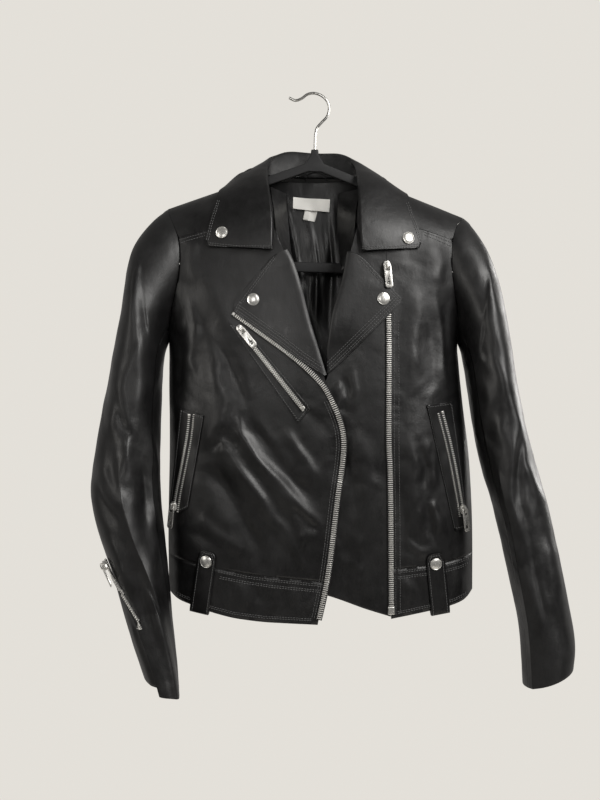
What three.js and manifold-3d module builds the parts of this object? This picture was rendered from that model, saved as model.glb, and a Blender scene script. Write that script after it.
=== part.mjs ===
// A faux-leather biker jacket hanging open on a slim hanger. Millimetres, +Z up, +X to the viewer's
// right, -Y towards the viewer. The origin is the inside top of the hanger's hook.
import * as THREE from 'three';
import { mergeVertices } from 'three/addons/utils/BufferGeometryUtils.js';
import Module from 'manifold-3d';

const wasm = await Module();
wasm.setup();

// ---- Driving sizes -------------------------------------------------------------------------
const LEATHER = 1.4;          // shell cloth
const COLLAR = 1.8;           // collar and lapels are double
const SATIN = 1.0;            // lining
const SEAM = 0.3;             // gap between two pieces at a seam
const RIDGE_Z = -83;          // height of the shoulder ridge, carried on to the centre
const RIDGE_FALL = 0.375;     // fall of the ridge for each mm outwards
const RIDGE_TILT = 0.028;     // the hanger hangs a little lower on the right
const ROUND_FRONT = 55;       // depth below the ridge in which the front comes to its full depth
const ROUND_BACK = 45;
const WIRE = 3.5;             // hook wire
const ARM = { tall: 12, thick: 6, reach: 172 };
const BAR = { z: -225, tall: 13, thick: 6 };
const SNAP = { radius: 7.7, height: 2.4 };
const SLIDER = { wide: 8.4, long: 11, tall: 3, bridge: 2.4 };
const PULL = { wide: 9, long: 28, thick: 1.2 };

const { PI, sin, cos, asin, sqrt, abs, min, max, sign } = Math;
const V = (x, y, z) => new THREE.Vector3(x, y, z);
const clamp = (v, a, b) => min(b, max(a, v));
const smooth = (v) => { const t = clamp(v, 0, 1); return t * t * (3 - 2 * t); };

// ---- Tables --------------------------------------------------------------------------------
// Torso by height: half widths to the left and right, depth of the front and of the back.
// Above the underarm the half width is a virtual one, past the armhole.
const TORSO = [
  { z: -90, left: 226, right: 226, front: 24, back: 26 },
  { z: -130, left: 224, right: 224, front: 30, back: 27 },
  { z: -160, left: 219, right: 219, front: 38, back: 28 },
  { z: -190, left: 214, right: 214, front: 46, back: 28 },
  { z: -215, left: 210, right: 209, front: 49, back: 28 },
  { z: -250, left: 204, right: 203, front: 51, back: 28 },
  { z: -285, left: 197, right: 194, front: 52, back: 28 },
  { z: -322, left: 189, right: 185, front: 53, back: 28 },
  { z: -380, left: 189, right: 190, front: 54, back: 28 },
  { z: -426, left: 188, right: 195, front: 53, back: 28 },
  { z: -454, left: 188, right: 199, front: 52, back: 27 },
  { z: -510, left: 189, right: 203, front: 50, back: 27 },
  { z: -565, left: 190, right: 205, front: 48, back: 26 },
  { z: -640, left: 189, right: 205, front: 46, back: 26 },
  { z: -700, left: 189, right: 205, front: 45, back: 26 },
];
// Soft folds of the fronts: a ridge (height > 0) or trough from one end to the other.
const FRONT_FOLDS = [
  { x0: -150, z0: -225, x1: -95, z1: -330, width: 16, height: 3.2 },
  { x0: -165, z0: -300, x1: -120, z1: -380, width: 15, height: 2.6 },
  { x0: -120, z0: -400, x1: -60, z1: -520, width: 20, height: 3.4 },
  { x0: -70, z0: -470, x1: 5, z1: -590, width: 17, height: 3.0 },
  { x0: -40, z0: -540, x1: -75, z1: -600, width: 13, height: -2.2 },
  { x0: -100, z0: -540, x1: -125, z1: -600, width: 14, height: 2.2 },
  { x0: 150, z0: -235, x1: 120, z1: -350, width: 16, height: 3.0 },
  { x0: 165, z0: -330, x1: 125, z1: -440, width: 17, height: 2.8 },
  { x0: 125, z0: -450, x1: 150, z1: -580, width: 18, height: 3.0 },
];
const BACK_FOLDS = [
  { x0: -150, z0: -210, x1: -90, z1: -330, width: 20, height: 3.2 },
  { x0: 150, z0: -220, x1: 95, z1: -340, width: 20, height: 3.2 },
  { x0: -110, z0: -420, x1: -60, z1: -570, width: 22, height: 3.4 },
  { x0: 20, z0: -380, x1: 45, z1: -560, width: 22, height: 3.0 },
  { x0: 140, z0: -440, x1: 115, z1: -580, width: 20, height: 2.6 },
];
const LINING_FOLDS = [
  { x0: -30, z0: -135, x1: -4, z1: -240, width: 5.5, height: 3.4 },
  { x0: -12, z0: -150, x1: 10, z1: -260, width: 5, height: 2.6 },
  { x0: 8, z0: -112, x1: 16, z1: -230, width: 5.5, height: 2.4 },
  { x0: 26, z0: -118, x1: 30, z1: -250, width: 6, height: 2.8 },
  { x0: -20, z0: -250, x1: -12, z1: -400, width: 8, height: 3 },
];
// Armhole seam by height, as the distance from the middle, and the two ends of each armhole.
const ARMHOLE = [
  { z: -322, left: 189, right: 185 },
  { z: -300, left: 188, right: 184.5 },
  { z: -280, left: 182, right: 181 },
  { z: -250, left: 173, right: 174 },
  { z: -215, left: 169, right: 171.5 },
  { z: -192, left: 172, right: 174 },
  { z: -170, left: 181, right: 183 },
];
const SHOULDER = { left: 190, right: 193 };
const UNDERARM = -322;
// Sleeve outlines, a row for each ring: the outer and inner edge, how far the middle is from y = 0,
// the half depth, and how far the section is turned.
const SLEEVES = {
  left: [
    { outer: -190, outerZ: -150, inner: -189, innerZ: -322, y: -6, deep: 27, turn: 0 },
    { outer: -205, outerZ: -161, inner: -191.5, innerZ: -331, y: -8, deep: 34, turn: 0 },
    { outer: -219, outerZ: -177, inner: -193.5, innerZ: -340, y: -9, deep: 40, turn: 0 },
    { outer: -234, outerZ: -199, inner: -195, innerZ: -350, y: -10, deep: 45, turn: 0 },
    { outer: -241, outerZ: -229, inner: -196, innerZ: -362, y: -11, deep: 49, turn: 0 },
    { outer: -244, outerZ: -268, inner: -196.5, innerZ: -380, y: -13, deep: 51, turn: 0 },
    { outer: -251, outerZ: -307, inner: -196.5, innerZ: -400, y: -15, deep: 51, turn: 0 },
    { outer: -259, outerZ: -346, inner: -196.5, innerZ: -418, y: -18, deep: 50, turn: 0 },
    { outer: -265, outerZ: -382, inner: -196.5, innerZ: -436, y: -21, deep: 49, turn: 0 },
    { outer: -271, outerZ: -422, inner: -196.5, innerZ: -460, y: -25, deep: 48, turn: 0 },
    { outer: -278, outerZ: -466, inner: -196, innerZ: -488, y: -28, deep: 47, turn: 1 },
    { outer: -285, outerZ: -509, inner: -194, innerZ: -521, y: -32, deep: 46, turn: 3 },
    { outer: -272, outerZ: -562, inner: -188, innerZ: -566, y: -38, deep: 45, turn: 6 },
    { outer: -254, outerZ: -612, inner: -181, innerZ: -612, y: -44, deep: 44, turn: 12 },
    { outer: -240, outerZ: -659, inner: -176, innerZ: -660, y: -50, deep: 43, turn: 16 },
    { outer: -223, outerZ: -709, inner: -167.5, innerZ: -713, y: -56, deep: 43, turn: 19 },
    { outer: -212, outerZ: -743, inner: -164, innerZ: -753, y: -60, deep: 44, turn: 20 },
  ],
  right: [
    { outer: 193, outerZ: -161, inner: 185, innerZ: -322, y: -6, deep: 27, turn: 0 },
    { outer: 203, outerZ: -171, inner: 188, innerZ: -331, y: -8, deep: 34, turn: 0 },
    { outer: 213, outerZ: -187, inner: 190, innerZ: -340, y: -9, deep: 40, turn: 0 },
    { outer: 228, outerZ: -215, inner: 192, innerZ: -352, y: -10, deep: 45, turn: 0 },
    { outer: 238, outerZ: -254, inner: 194.5, innerZ: -368, y: -12, deep: 49, turn: 0 },
    { outer: 246, outerZ: -300, inner: 197, innerZ: -388, y: -14, deep: 51, turn: 0 },
    { outer: 252, outerZ: -346, inner: 200, innerZ: -412, y: -17, deep: 50, turn: 0 },
    { outer: 259, outerZ: -390, inner: 203, innerZ: -437, y: -20, deep: 49, turn: 0 },
    { outer: 266, outerZ: -428, inner: 207, innerZ: -460, y: -23, deep: 48, turn: 0 },
    { outer: 276, outerZ: -467, inner: 212, innerZ: -485, y: -26, deep: 47, turn: 0 },
    { outer: 286, outerZ: -502, inner: 219, innerZ: -512, y: -30, deep: 46, turn: 2 },
    { outer: 294.5, outerZ: -541, inner: 228, innerZ: -545, y: -34, deep: 45, turn: 4 },
    { outer: 303, outerZ: -581, inner: 235, innerZ: -581, y: -38, deep: 44, turn: 6 },
    { outer: 310, outerZ: -622, inner: 242, innerZ: -622, y: -43, deep: 43, turn: 8 },
    { outer: 317, outerZ: -665, inner: 252, innerZ: -668, y: -47, deep: 42, turn: 10 },
    { outer: 322, outerZ: -695, inner: 255, innerZ: -710, y: -50, deep: 42, turn: 12 },
    { outer: 318, outerZ: -724, inner: 256, innerZ: -748, y: -52, deep: 42, turn: 12 },
  ],
};
// Creases of the sleeves: row and angle (degrees, 0 outside, 90 in front) of both ends.
const SLEEVE_FOLDS = {
  left: [
    { row0: 3, angle0: 120, row1: 7, angle1: 60, width: 20, height: 4 },
    { row0: 6, angle0: 110, row1: 11, angle1: 95, width: 13, height: 5 },
    { row0: 11, angle0: 95, row1: 16, angle1: 122, width: 13, height: 5 },
    { row0: 7, angle0: 250, row1: 10, angle1: 310, width: 16, height: 4 },
    { row0: 10, angle0: 270, row1: 12, angle1: 220, width: 16, height: 3.5 },
    { row0: 8, angle0: 30, row1: 10, angle1: 75, width: 14, height: -3 },
  ],
  right: [
    { row0: 3, angle0: 120, row1: 7, angle1: 60, width: 20, height: 4 },
    { row0: 8, angle0: 105, row1: 10, angle1: 132, width: 13, height: 5 },
    { row0: 10, angle0: 132, row1: 15, angle1: 126, width: 12, height: 5.5 },
    { row0: 7, angle0: 250, row1: 10, angle1: 310, width: 16, height: 4 },
    { row0: 10, angle0: 270, row1: 12, angle1: 220, width: 16, height: 3.5 },
    { row0: 9, angle0: 40, row1: 12, angle1: 80, width: 13, height: -3 },
  ],
};
// Back seam of each sleeve: its angle by row. The front seam stays at one angle.
const BACK_SEAM = {
  left: [{ row: 0, angle: -75 }, { row: 8, angle: -45 }, { row: 11, angle: -12 }, { row: 12, angle: 2 },
    { row: 13, angle: 26 }, { row: 14, angle: 60 }, { row: 16, angle: 68 }],
  right: [{ row: 0, angle: -75 }, { row: 8, angle: -60 }, { row: 16, angle: -50 }],
};
const FRONT_SEAM = 145;
// Collar stations from the left notch round the back to the right notch: seam to the neck, roll,
// and free edge. Face says whether the seam and the edge lie on the front or the back.
const COLLAR_STATIONS = [
  { seamX: -55, seamZ: -203, over: 2.3, roll: [-52, -54, -211], edgeX: -133, edgeZ: -206, face: 'front' },
  { seamX: -55, seamZ: -192, over: 2.3, roll: [-51.5, -54, -197], edgeX: -137, edgeZ: -196, face: 'front' },
  { seamX: -51, seamZ: -175, over: 1.6, roll: [-51.2, -50, -178], edgeX: -132, edgeZ: -177, face: 'front' },
  { seamX: -56, seamZ: -152, roll: [-53.5, -41, -152], edgeX: -127, edgeZ: -157, face: 'front' },
  { seamX: -59.5, seamZ: -134, roll: [-57, -31, -133], edgeX: -124, edgeZ: -144, face: 'front' },
  { seamX: -61.5, seamZ: -118, roll: [-60, -19, -113], edgeX: -121, edgeZ: -132, face: 'front' },
  { seamX: -63, seamZ: -106.5, roll: [-61, 3, -91], edgeX: -118, edgeZ: -126.5, face: 'ridge' },
  { seamX: -56, seamZ: -103.5, roll: [-56, 18, -76], edgeX: -104, edgeZ: -130, face: 'back' },
  { seamX: -40, seamZ: -102.5, roll: [-40, 26, -65], edgeX: -74, edgeZ: -136, face: 'back' },
  { seamX: -20, seamZ: -102.5, roll: [-19, 28, -66], edgeX: -36, edgeZ: -140, face: 'back' },
  { seamX: 0, seamZ: -102.5, roll: [0, 28.5, -68], edgeX: 0, edgeZ: -141, face: 'back' },
  { seamX: 20, seamZ: -102.8, roll: [19, 28, -68], edgeX: 36, edgeZ: -140, face: 'back' },
  { seamX: 40, seamZ: -103.5, roll: [37, 26, -68], edgeX: 74, edgeZ: -137, face: 'back' },
  { seamX: 56, seamZ: -105.5, roll: [49, 18, -79], edgeX: 102, edgeZ: -133, face: 'back' },
  { seamX: 63, seamZ: -109, roll: [53, 3, -94], edgeX: 115, edgeZ: -130, face: 'ridge' },
  { seamX: 61.5, seamZ: -120, roll: [54, -20, -116], edgeX: 118, edgeZ: -138, face: 'front' },
  { seamX: 59.5, seamZ: -136, roll: [54, -32, -135], edgeX: 120, edgeZ: -149, face: 'front' },
  { seamX: 56, seamZ: -154, roll: [54, -41, -153], edgeX: 122, edgeZ: -160, face: 'front' },
  { seamX: 51.5, seamZ: -175, over: 1.6, roll: [54, -50, -178], edgeX: 127, edgeZ: -178, face: 'front' },
  { seamX: 56, seamZ: -192, over: 2.3, roll: [54.5, -54, -197], edgeX: 133, edgeZ: -199, face: 'front' },
  { seamX: 57, seamZ: -203, over: 2.3, roll: [57, -54, -213], edgeX: 129, edgeZ: -208, face: 'front' },
];
// Lines on the panels, as [x, z] rows.
const NECK_FRONT = { left: [[-66, -107], [-64, -128], [-60, -150], [-54, -176]],
  right: [[66, -110], [64, -130], [60, -152], [54, -176]] };
const YOKE_SEAM = { left: [[-54, -176.5], [-90, -179], [-135, -184], [-171.8, -192]],
  right: [[54, -176.5], [90, -178], [131, -182], [174, -195]] };
const ROLL = {
  left: [[-50, -190], [-38, -213], [-30.5, -226], [-21, -258], [-10.5, -301], [1, -338], [10.5, -367]],
  right: [[49, -190], [43.5, -214], [38, -248], [25, -290], [18.5, -333], [17.5, -364]],
};
const FRONT_EDGE = [[10.5, -367], [20, -397], [30.5, -421], [36, -446], [34, -475], [28, -513],
  [21.5, -572], [15, -620], [10, -645], [4, -670], [3, -676.5]];
const UNDERFLAP_EDGE = [[17.5, -364], [6, -385], [-2, -420], [-8, -470], [-12, -540], [-14, -600],
  [-16, -634]];
const ZIP_RIGHT_LINE = [[88, -179.2], [88, -222], [91, -292], [91, -368], [90.5, -450], [92.7, -478],
  [93.6, -541],
  [94.2, -604], [94.8, -668]];
const HEM_SEAM = { left: [[-189, -596], [-121, -607.6], [-83, -614], [-51, -617], [15.4, -624]],
  right: [[94.3, -608], [137, -604.6], [164, -601.6], [205, -594]],
  back: [[-189, -596], [-95, -602], [0, -604], [100, -602], [205, -594]] };
const HEM_BOTTOM = { left: [[-189, -643], [-178, -650], [-157, -655], [-131, -663], [-102, -669.4],
  [-64, -673.7], [3, -676.7]],
  right: [[94.8, -669.8], [140, -662], [174, -656.6], [196, -650], [205, -642]],
  back: [[-189, -643], [-100, -654], [0, -657], [100, -653], [205, -642]],
  underflap: [[-16, -635], [14, -642], [60, -657], [94.3, -667]] };
const LAPELS = {
  left: { top: [[-38, -214.5], [-50, -217], [-99, -274]], outer: [[-99, -274], [-102, -288]],
    bottom: [[10.5, -367], [-19, -349], [-44.5, -329], [-102, -288]], inwards: 1 },
  right: { top: [[43.5, -217], [57, -219], [73, -237], [92.5, -256.5], [107, -271.5]],
    outer: [[107, -271.5], [105.5, -277]], bottom: [[17.5, -364], [50, -333], [105.5, -277]], inwards: -1 },
};
const ZIP_LEFT_LINE = [[-101.5, -289.5], [-44, -331], [-18, -351], [9, -377], [20, -397], [30.5, -421],
  [36, -446], [34, -475], [28, -513], [21.5, -572], [15, -620], [10, -645], [4, -670]];
const WELTS = {
  chest: [[-106, -303], [-89, -307], [-6, -408], [-20, -425]],
  hand_left: [[-169, -408], [-139, -416], [-161, -534], [-186, -546]],
  hand_right: [[139, -403], [172, -399], [195, -560], [177, -562]],
};
const ZIP_POCKET = {
  chest: [[-96, -306], [-14, -409]],
  hand_left: [[-154.5, -414], [-157, -438], [-161.5, -463], [-167, -489], [-173, -516], [-177, -540]],
  hand_right: [[156, -411], [167, -450], [176, -490], [186, -544]],
};
const LOOPS = {
  left: { top: [-134, -586], bottom: [-146, -665], half: 12 },
  right: { top: [149.7, -589], bottom: [158, -666.5], half: 12 },
};

// ---- Table look-up -------------------------------------------------------------------------
// Smooth interpolation of one column of a table, by another.
function column(table, key, by, value) {
  const rows = table, up = rows[rows.length - 1][by] > rows[0][by];
  let i = 0;
  while (i < rows.length - 2 && (up ? value > rows[i + 1][by] : value < rows[i + 1][by])) i++;
  const a = rows[i], b = rows[i + 1], p = rows[max(0, i - 1)], q = rows[min(rows.length - 1, i + 2)];
  const h = b[by] - a[by], t = clamp((value - a[by]) / h, 0, 1);
  const ma = i > 0 ? (b[key] - p[key]) / (b[by] - p[by]) * h : b[key] - a[key];
  const mb = i < rows.length - 2 ? (q[key] - a[key]) / (q[by] - a[by]) * h : b[key] - a[key];
  const t2 = t * t, t3 = t2 * t;
  return (2 * t3 - 3 * t2 + 1) * a[key] + (t3 - 2 * t2 + t) * ma + (3 * t2 - 2 * t3) * b[key] + (t3 - t2) * mb;
}
// A point at a share of the way along a line of [x, z] rows.
function along(line, share) {
  const step = line.slice(1).map((p, i) => Math.hypot(p[0] - line[i][0], p[1] - line[i][1]));
  let left = clamp(share, 0, 1) * step.reduce((a, b) => a + b, 0), i = 0;
  while (i < step.length - 1 && left > step[i]) left -= step[i++];
  const t = clamp(left / step[i], 0, 1);
  return [line[i][0] + (line[i + 1][0] - line[i][0]) * t, line[i][1] + (line[i + 1][1] - line[i][1]) * t];
}
const lineLength = (line) => line.slice(1).reduce((sum, p, i) =>
  sum + Math.hypot(p[0] - line[i][0], p[1] - line[i][1]), 0);

// ---- The torso's surfaces ------------------------------------------------------------------
const ridge = (x) => RIDGE_Z - RIDGE_FALL * abs(x) - RIDGE_TILT * x;
const halfWidth = (x, z) => column(TORSO, x < 0 ? 'left' : 'right', 'z', z);
function fold(folds, x, z) {
  let sum = 0;
  for (const f of folds) {
    const dx = f.x1 - f.x0, dz = f.z1 - f.z0, long = dx * dx + dz * dz;
    const t = ((x - f.x0) * dx + (z - f.z0) * dz) / long;
    const off = Math.hypot(x - f.x0 - clamp(t, 0, 1) * dx, z - f.z0 - clamp(t, 0, 1) * dz);
    sum += f.height * Math.exp(-((off / f.width) ** 2));
  }
  return sum;
}
// Distance of the front (or back) from the middle plane at a place.
function depth(face, x, z) {
  const share = clamp(abs(x) / halfWidth(x, z), 0, 1);
  const side = sqrt(max(0, 1 - share ** 3));
  const round = face === 'front' ? ROUND_FRONT : ROUND_BACK;
  const below = clamp((ridge(x) - z) / round, 0, 1);
  const body = column(TORSO, face, 'z', z) * side * sqrt(max(0, 1 - (1 - below) ** 2));
  const folds = face === 'front' ? FRONT_FOLDS : BACK_FOLDS;
  return SEAM * 0.7 + body + fold(folds, x, z) * smooth(body / 30);
}
const faceSign = (face) => (face === 'front' ? -1 : 1);
const surface = (face, x, z) => V(x, faceSign(face) * depth(face, x, z), z);
// A place by the angle round the torso, so that steps stay even at the sides.
const toAngle = (x, z) => asin(clamp(x / halfWidth(x, z), -1, 1));
const fromAngle = (u, z) => halfWidth(u, z) * sin(u);
function normalAt(face, x, z) {
  const u = toAngle(x, z), h = 0.03, k = 1.2;
  const ua = max(-PI / 2, u - h), ub = min(PI / 2, u + h), top = min(z + k, ridge(x));
  const across = surface(face, fromAngle(ub, z), z).sub(surface(face, fromAngle(ua, z), z));
  const up = surface(face, x, top).sub(surface(face, x, z - k));
  const n = across.cross(up).normalize();
  if (n.y * faceSign(face) < 0) n.negate();
  if (abs(u) > PI / 2 - 1e-3 || ridge(x) - z < 1e-3) { n.y = 0; n.normalize(); }
  return n;
}
const lifted = (face, x, z, lift) => surface(face, x, z).addScaledVector(normalAt(face, x, z), lift);
// The right side dips behind the left front where they cross.
const dip = (x, z) => -7.5 * smooth((75 - x) / 50) * smooth((-300 - z) / 50);

// ---- Making solids -------------------------------------------------------------------------
const group = new THREE.Group();
group.name = 'leather_jacket_on_hanger';
const FINISH = {
  leather: { color: 0x17171a, roughness: 0.42, metalness: 0 },
  satin: { color: 0x101012, roughness: 0.35, metalness: 0 },
  tape: { color: 0x0d0d0e, roughness: 0.8, metalness: 0 },
  metal: { color: 0xc9c9cc, roughness: 0.25, metalness: 1 },
  plastic: { color: 0x0c0c0d, roughness: 0.5, metalness: 0 },
  label: { color: 0xe9e7e1, roughness: 0.8, metalness: 0 },
};
function add(name, geometry, finish) {
  const mesh = new THREE.Mesh(geometry, new THREE.MeshStandardMaterial(FINISH[finish]));
  mesh.name = name;
  group.add(mesh);
  return mesh;
}
function signedVolume(points, triangles) {
  let sum = 0;
  for (const [a, b, c] of triangles) sum += points[a].dot(V(0, 0, 0).crossVectors(points[b], points[c]));
  return sum / 6;
}
function fromTriangles(points, triangles) {
  if (signedVolume(points, triangles) < 0) triangles.forEach((t) => t.reverse());
  const geometry = new THREE.BufferGeometry();
  const flat = points.flatMap((p) => [p.x, p.y, p.z]);
  geometry.setAttribute('position', new THREE.Float32BufferAttribute(flat, 3));
  geometry.setIndex(triangles.flat());
  geometry.computeVertexNormals();
  return geometry;
}
// A wall between two grids of points, closed by its four edges.
function wall(outer, inner) {
  const rows = outer.length, cols = outer[0].length;
  const points = [...outer.flat(), ...inner.flat()], triangles = [];
  const at = (side, i, j) => side * rows * cols + i * cols + j;
  const quad = (a, b, c, d) => triangles.push([a, b, c], [a, c, d]);
  for (let i = 0; i < rows - 1; i++) {
    for (let j = 0; j < cols - 1; j++) {
      quad(at(0, i, j), at(0, i, j + 1), at(0, i + 1, j + 1), at(0, i + 1, j));
      quad(at(1, i, j), at(1, i + 1, j), at(1, i + 1, j + 1), at(1, i, j + 1));
    }
  }
  for (let j = 0; j < cols - 1; j++) {
    quad(at(0, 0, j), at(1, 0, j), at(1, 0, j + 1), at(0, 0, j + 1));
    quad(at(0, rows - 1, j), at(0, rows - 1, j + 1), at(1, rows - 1, j + 1), at(1, rows - 1, j));
  }
  for (let i = 0; i < rows - 1; i++) {
    quad(at(0, i, 0), at(0, i + 1, 0), at(1, i + 1, 0), at(1, i, 0));
    quad(at(0, i, cols - 1), at(1, i, cols - 1), at(1, i + 1, cols - 1), at(0, i + 1, cols - 1));
  }
  return fromTriangles(points, triangles);
}
// The same grid moved in by a thickness, along normals taken from the grid. Side is 1 or -1.
function movedIn(grid, thickness, side) {
  const rows = grid.length, cols = grid[0].length;
  return grid.map((row, i) => row.map((p, j) => {
    const a = grid[i][max(0, j - 1)], b = grid[i][min(cols - 1, j + 1)];
    const c = grid[max(0, i - 1)][j], d = grid[min(rows - 1, i + 1)][j];
    const n = b.clone().sub(a).cross(d.clone().sub(c)).normalize();
    return p.clone().addScaledVector(n, -side * thickness);
  }));
}
const steps = (n) => Array.from({ length: n + 1 }, (_, i) => i / n);

// A panel of the torso between four lines. Top and bottom run left to right, the sides run down.
function panel(face, { top, bottom, left, right, across, down, lift = () => 0, thick = LEATHER }) {
  const place = ([x, z]) => [toAngle(x, z), z];
  const [tl, tr, bl, br] = [top(0), top(1), bottom(0), bottom(1)].map(place);
  const blend = (s, t) => {
    const T = place(top(s)), B = place(bottom(s)), L = place(left(t)), R = place(right(t));
    return [0, 1].map((k) => (1 - t) * T[k] + t * B[k] + (1 - s) * L[k] + s * R[k]
      - (1 - s) * (1 - t) * tl[k] - s * (1 - t) * tr[k] - (1 - s) * t * bl[k] - s * t * br[k]);
  };
  const grid = (offset) => down.map((t) => across.map((s) => {
    const [u, z] = blend(s, t), x = fromAngle(u, z);
    return lifted(face, x, z, lift(x, z) + offset);
  }));
  return wall(grid(0), grid(-thick));
}
// The end of a line that lies on the side seam is put right on it.
const onSide = ([x, z]) => (abs(x) > 0.985 * halfWidth(x, z) ? [sign(x) * halfWidth(x, z), z] : [x, z]);
const lineOf = (rows) => { const set = rows.map(onSide); return (share) => along(set, share); };
const sideDown = (side, from, to) => (t) => {
  const z = from + (to - from) * t;
  return [(side === 'left' ? -1 : 1) * column(TORSO, side, 'z', z), z];
};
const moved = (rows, dx, dz) => rows.map(([x, z]) => [x + dx, z + dz]);

// ---- Sides of the panels -------------------------------------------------------------------
const armX = (side, z) => (side === 'left' ? -1 : 1) * column(ARMHOLE, side, 'z', z);
// Armhole and side seam in one: from a height on the armhole down to the bottom.
function sideLine(side, from, bottomZ, split) {
  const sgn = side === 'left' ? -1 : 1;
  return (t) => {
    if (t < split) {
      const z = from + (UNDERARM - from) * (t / split);
      return [armLine(side, z), z];
    }
    const z = UNDERARM + (bottomZ - UNDERARM) * ((t - split) / (1 - split));
    return [sgn * column(TORSO, side, 'z', z), z];
  };
}
// Armhole line up to the end of the shoulder ridge.
function armLine(side, z) {
  const sgn = side === 'left' ? -1 : 1, end = SHOULDER[side], topZ = ridge(sgn * end);
  if (z <= -170) return armX(side, z);
  const t = clamp((z + 170) / (topZ + 170), 0, 1);
  return sgn * (column(ARMHOLE, side, 'z', -170) + (end - column(ARMHOLE, side, 'z', -170)) * t ** 0.8);
}
const easeTop = (n, power = 1.7) => steps(n).map((t) => t ** power);

// ---- Back ----------------------------------------------------------------------------------
const shoulderZ = { left: ridge(-SHOULDER.left), right: ridge(SHOULDER.right) };
const NECK_BACK = [[-66, ridge(-66)], [-45, -104.3], [0, -103.3], [45, -105.5], [66, ridge(66)]];
const backTop = (s) => {
  if (s < 0.31) { const x = -SHOULDER.left + (SHOULDER.left - 66) * (s / 0.31); return [x, ridge(x)]; }
  if (s > 0.69) { const x = 66 + (SHOULDER.right - 66) * ((s - 0.69) / 0.31); return [x, ridge(x)]; }
  return along(NECK_BACK, (s - 0.31) / 0.38);
};
const BACK_ROWS = [0, 0.0016, 0.008, 0.024, 0.05, 0.09, 0.15, 0.25, 0.36, 0.46, 0.57, 0.68, 0.79, 0.9, 1];
const BACK_COLS = [0, 0.1, 0.2, 0.31, 0.37, 0.435, 0.5, 0.565, 0.63, 0.69, 0.8, 0.9, 1];
const seamUp = SEAM / 2;
add('back_panel', panel('back', {
  top: backTop,
  bottom: lineOf(moved(HEM_SEAM.back, 0, seamUp)),
  left: sideLine('left', shoulderZ.left, -596 + seamUp, 0.36),
  right: sideLine('right', shoulderZ.right, -594 + seamUp, 0.36),
  across: BACK_COLS, down: BACK_ROWS,
}), 'leather');
add('hem_back', panel('back', {
  top: lineOf(moved(HEM_SEAM.back, 0, -seamUp)), bottom: lineOf(HEM_BOTTOM.back),
  left: sideDown('left', -596.15, -643), right: sideDown('right', -594.15, -642),
  across: BACK_COLS, down: steps(2),
}), 'leather');

// ---- Yokes and fronts ----------------------------------------------------------------------
for (const side of ['left', 'right']) {
  const sgn = side === 'left' ? -1 : 1, end = SHOULDER[side];
  const seamEndZ = YOKE_SEAM[side][3][1];
  const top = (s) => { const x = sgn * (66 + (end - 66) * s); return [x, ridge(x)]; };
  const bottom = lineOf([...YOKE_SEAM[side].slice(0, 3), [armLine(side, seamEndZ), seamEndZ]]);
  const armSide = (t) => { const z = shoulderZ[side] + (seamEndZ - shoulderZ[side]) * t; return [armLine(side, z), z]; };
  const neckRows = [[sgn * 66, ridge(sgn * 66)], ...NECK_FRONT[side].slice(1, 3), YOKE_SEAM[side][0]];
  const down = easeTop(6, 2);
  add(`yoke_${side}`, panel('front', side === 'left'
    ? { top: (s) => top(1 - s), bottom: (s) => bottom(1 - s), left: armSide, right: lineOf(neckRows),
      across: steps(8), down }
    : { top, bottom, left: lineOf(neckRows), right: armSide, across: steps(8), down }), 'leather');
}
const leftSide = sideLine('left', -192 - SEAM, -596 + seamUp, 0.33);
const leftInner = [[-53.6, -177], ...ROLL.left, ...FRONT_EDGE.slice(1, 7), [14.6, -623.8]];
add('front_left', panel('front', {
  top: (s) => along([[armLine('left', -192.3), -192.3], [-135, -184.4], [-90, -179.4], [-53.6, -177]], s),
  bottom: lineOf([...moved(HEM_SEAM.left.slice(0, 4), 0, seamUp), [14.6, -623.8]]),
  left: leftSide, right: lineOf(leftInner), across: steps(13), down: steps(18),
}), 'leather');
add('hem_left', panel('front', {
  top: lineOf([...moved(HEM_SEAM.left.slice(0, 4), 0, -seamUp), [14.6, -624.1]]),
  bottom: lineOf(HEM_BOTTOM.left),
  left: sideDown('left', -596.15, -643),
  right: lineOf([[14.6, -624.1], [10, -645], [4, -670], [3, -676.7]]),
  across: steps(13), down: steps(3),
}), 'leather');
const rightTop = [[88.4, -179.2], [131, -182.9], [armLine('right', -195.3), -195.3]];
add('front_right', panel('front', {
  top: lineOf(rightTop), bottom: lineOf(moved(HEM_SEAM.right, 0, seamUp)),
  left: lineOf([...moved(ZIP_RIGHT_LINE.slice(0, 8), 0.4, 0), [94.3, -607.85]]),
  right: sideLine('right', -195.3, -594 + seamUp, 0.32), across: steps(8), down: steps(18),
}), 'leather');
add('hem_right', panel('front', {
  top: lineOf(moved(HEM_SEAM.right, 0, -seamUp)), bottom: lineOf(HEM_BOTTOM.right),
  left: lineOf([[94.3, -608.15], [94.8, -669.8]]), right: sideDown('right', -594.15, -642),
  across: steps(8), down: steps(3),
}), 'leather');
add('underflap', panel('front', {
  top: lineOf([[53.6, -177], [88, -178.5]]), bottom: lineOf(HEM_BOTTOM.underflap),
  left: lineOf([[53.6, -177], ...ROLL.right, ...UNDERFLAP_EDGE.slice(1)]),
  right: lineOf([[88, -178.5], ...ZIP_RIGHT_LINE.slice(1, 8), [94.3, -667]]),
  across: steps(6), down: steps(24), lift: dip,
}), 'leather');

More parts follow.
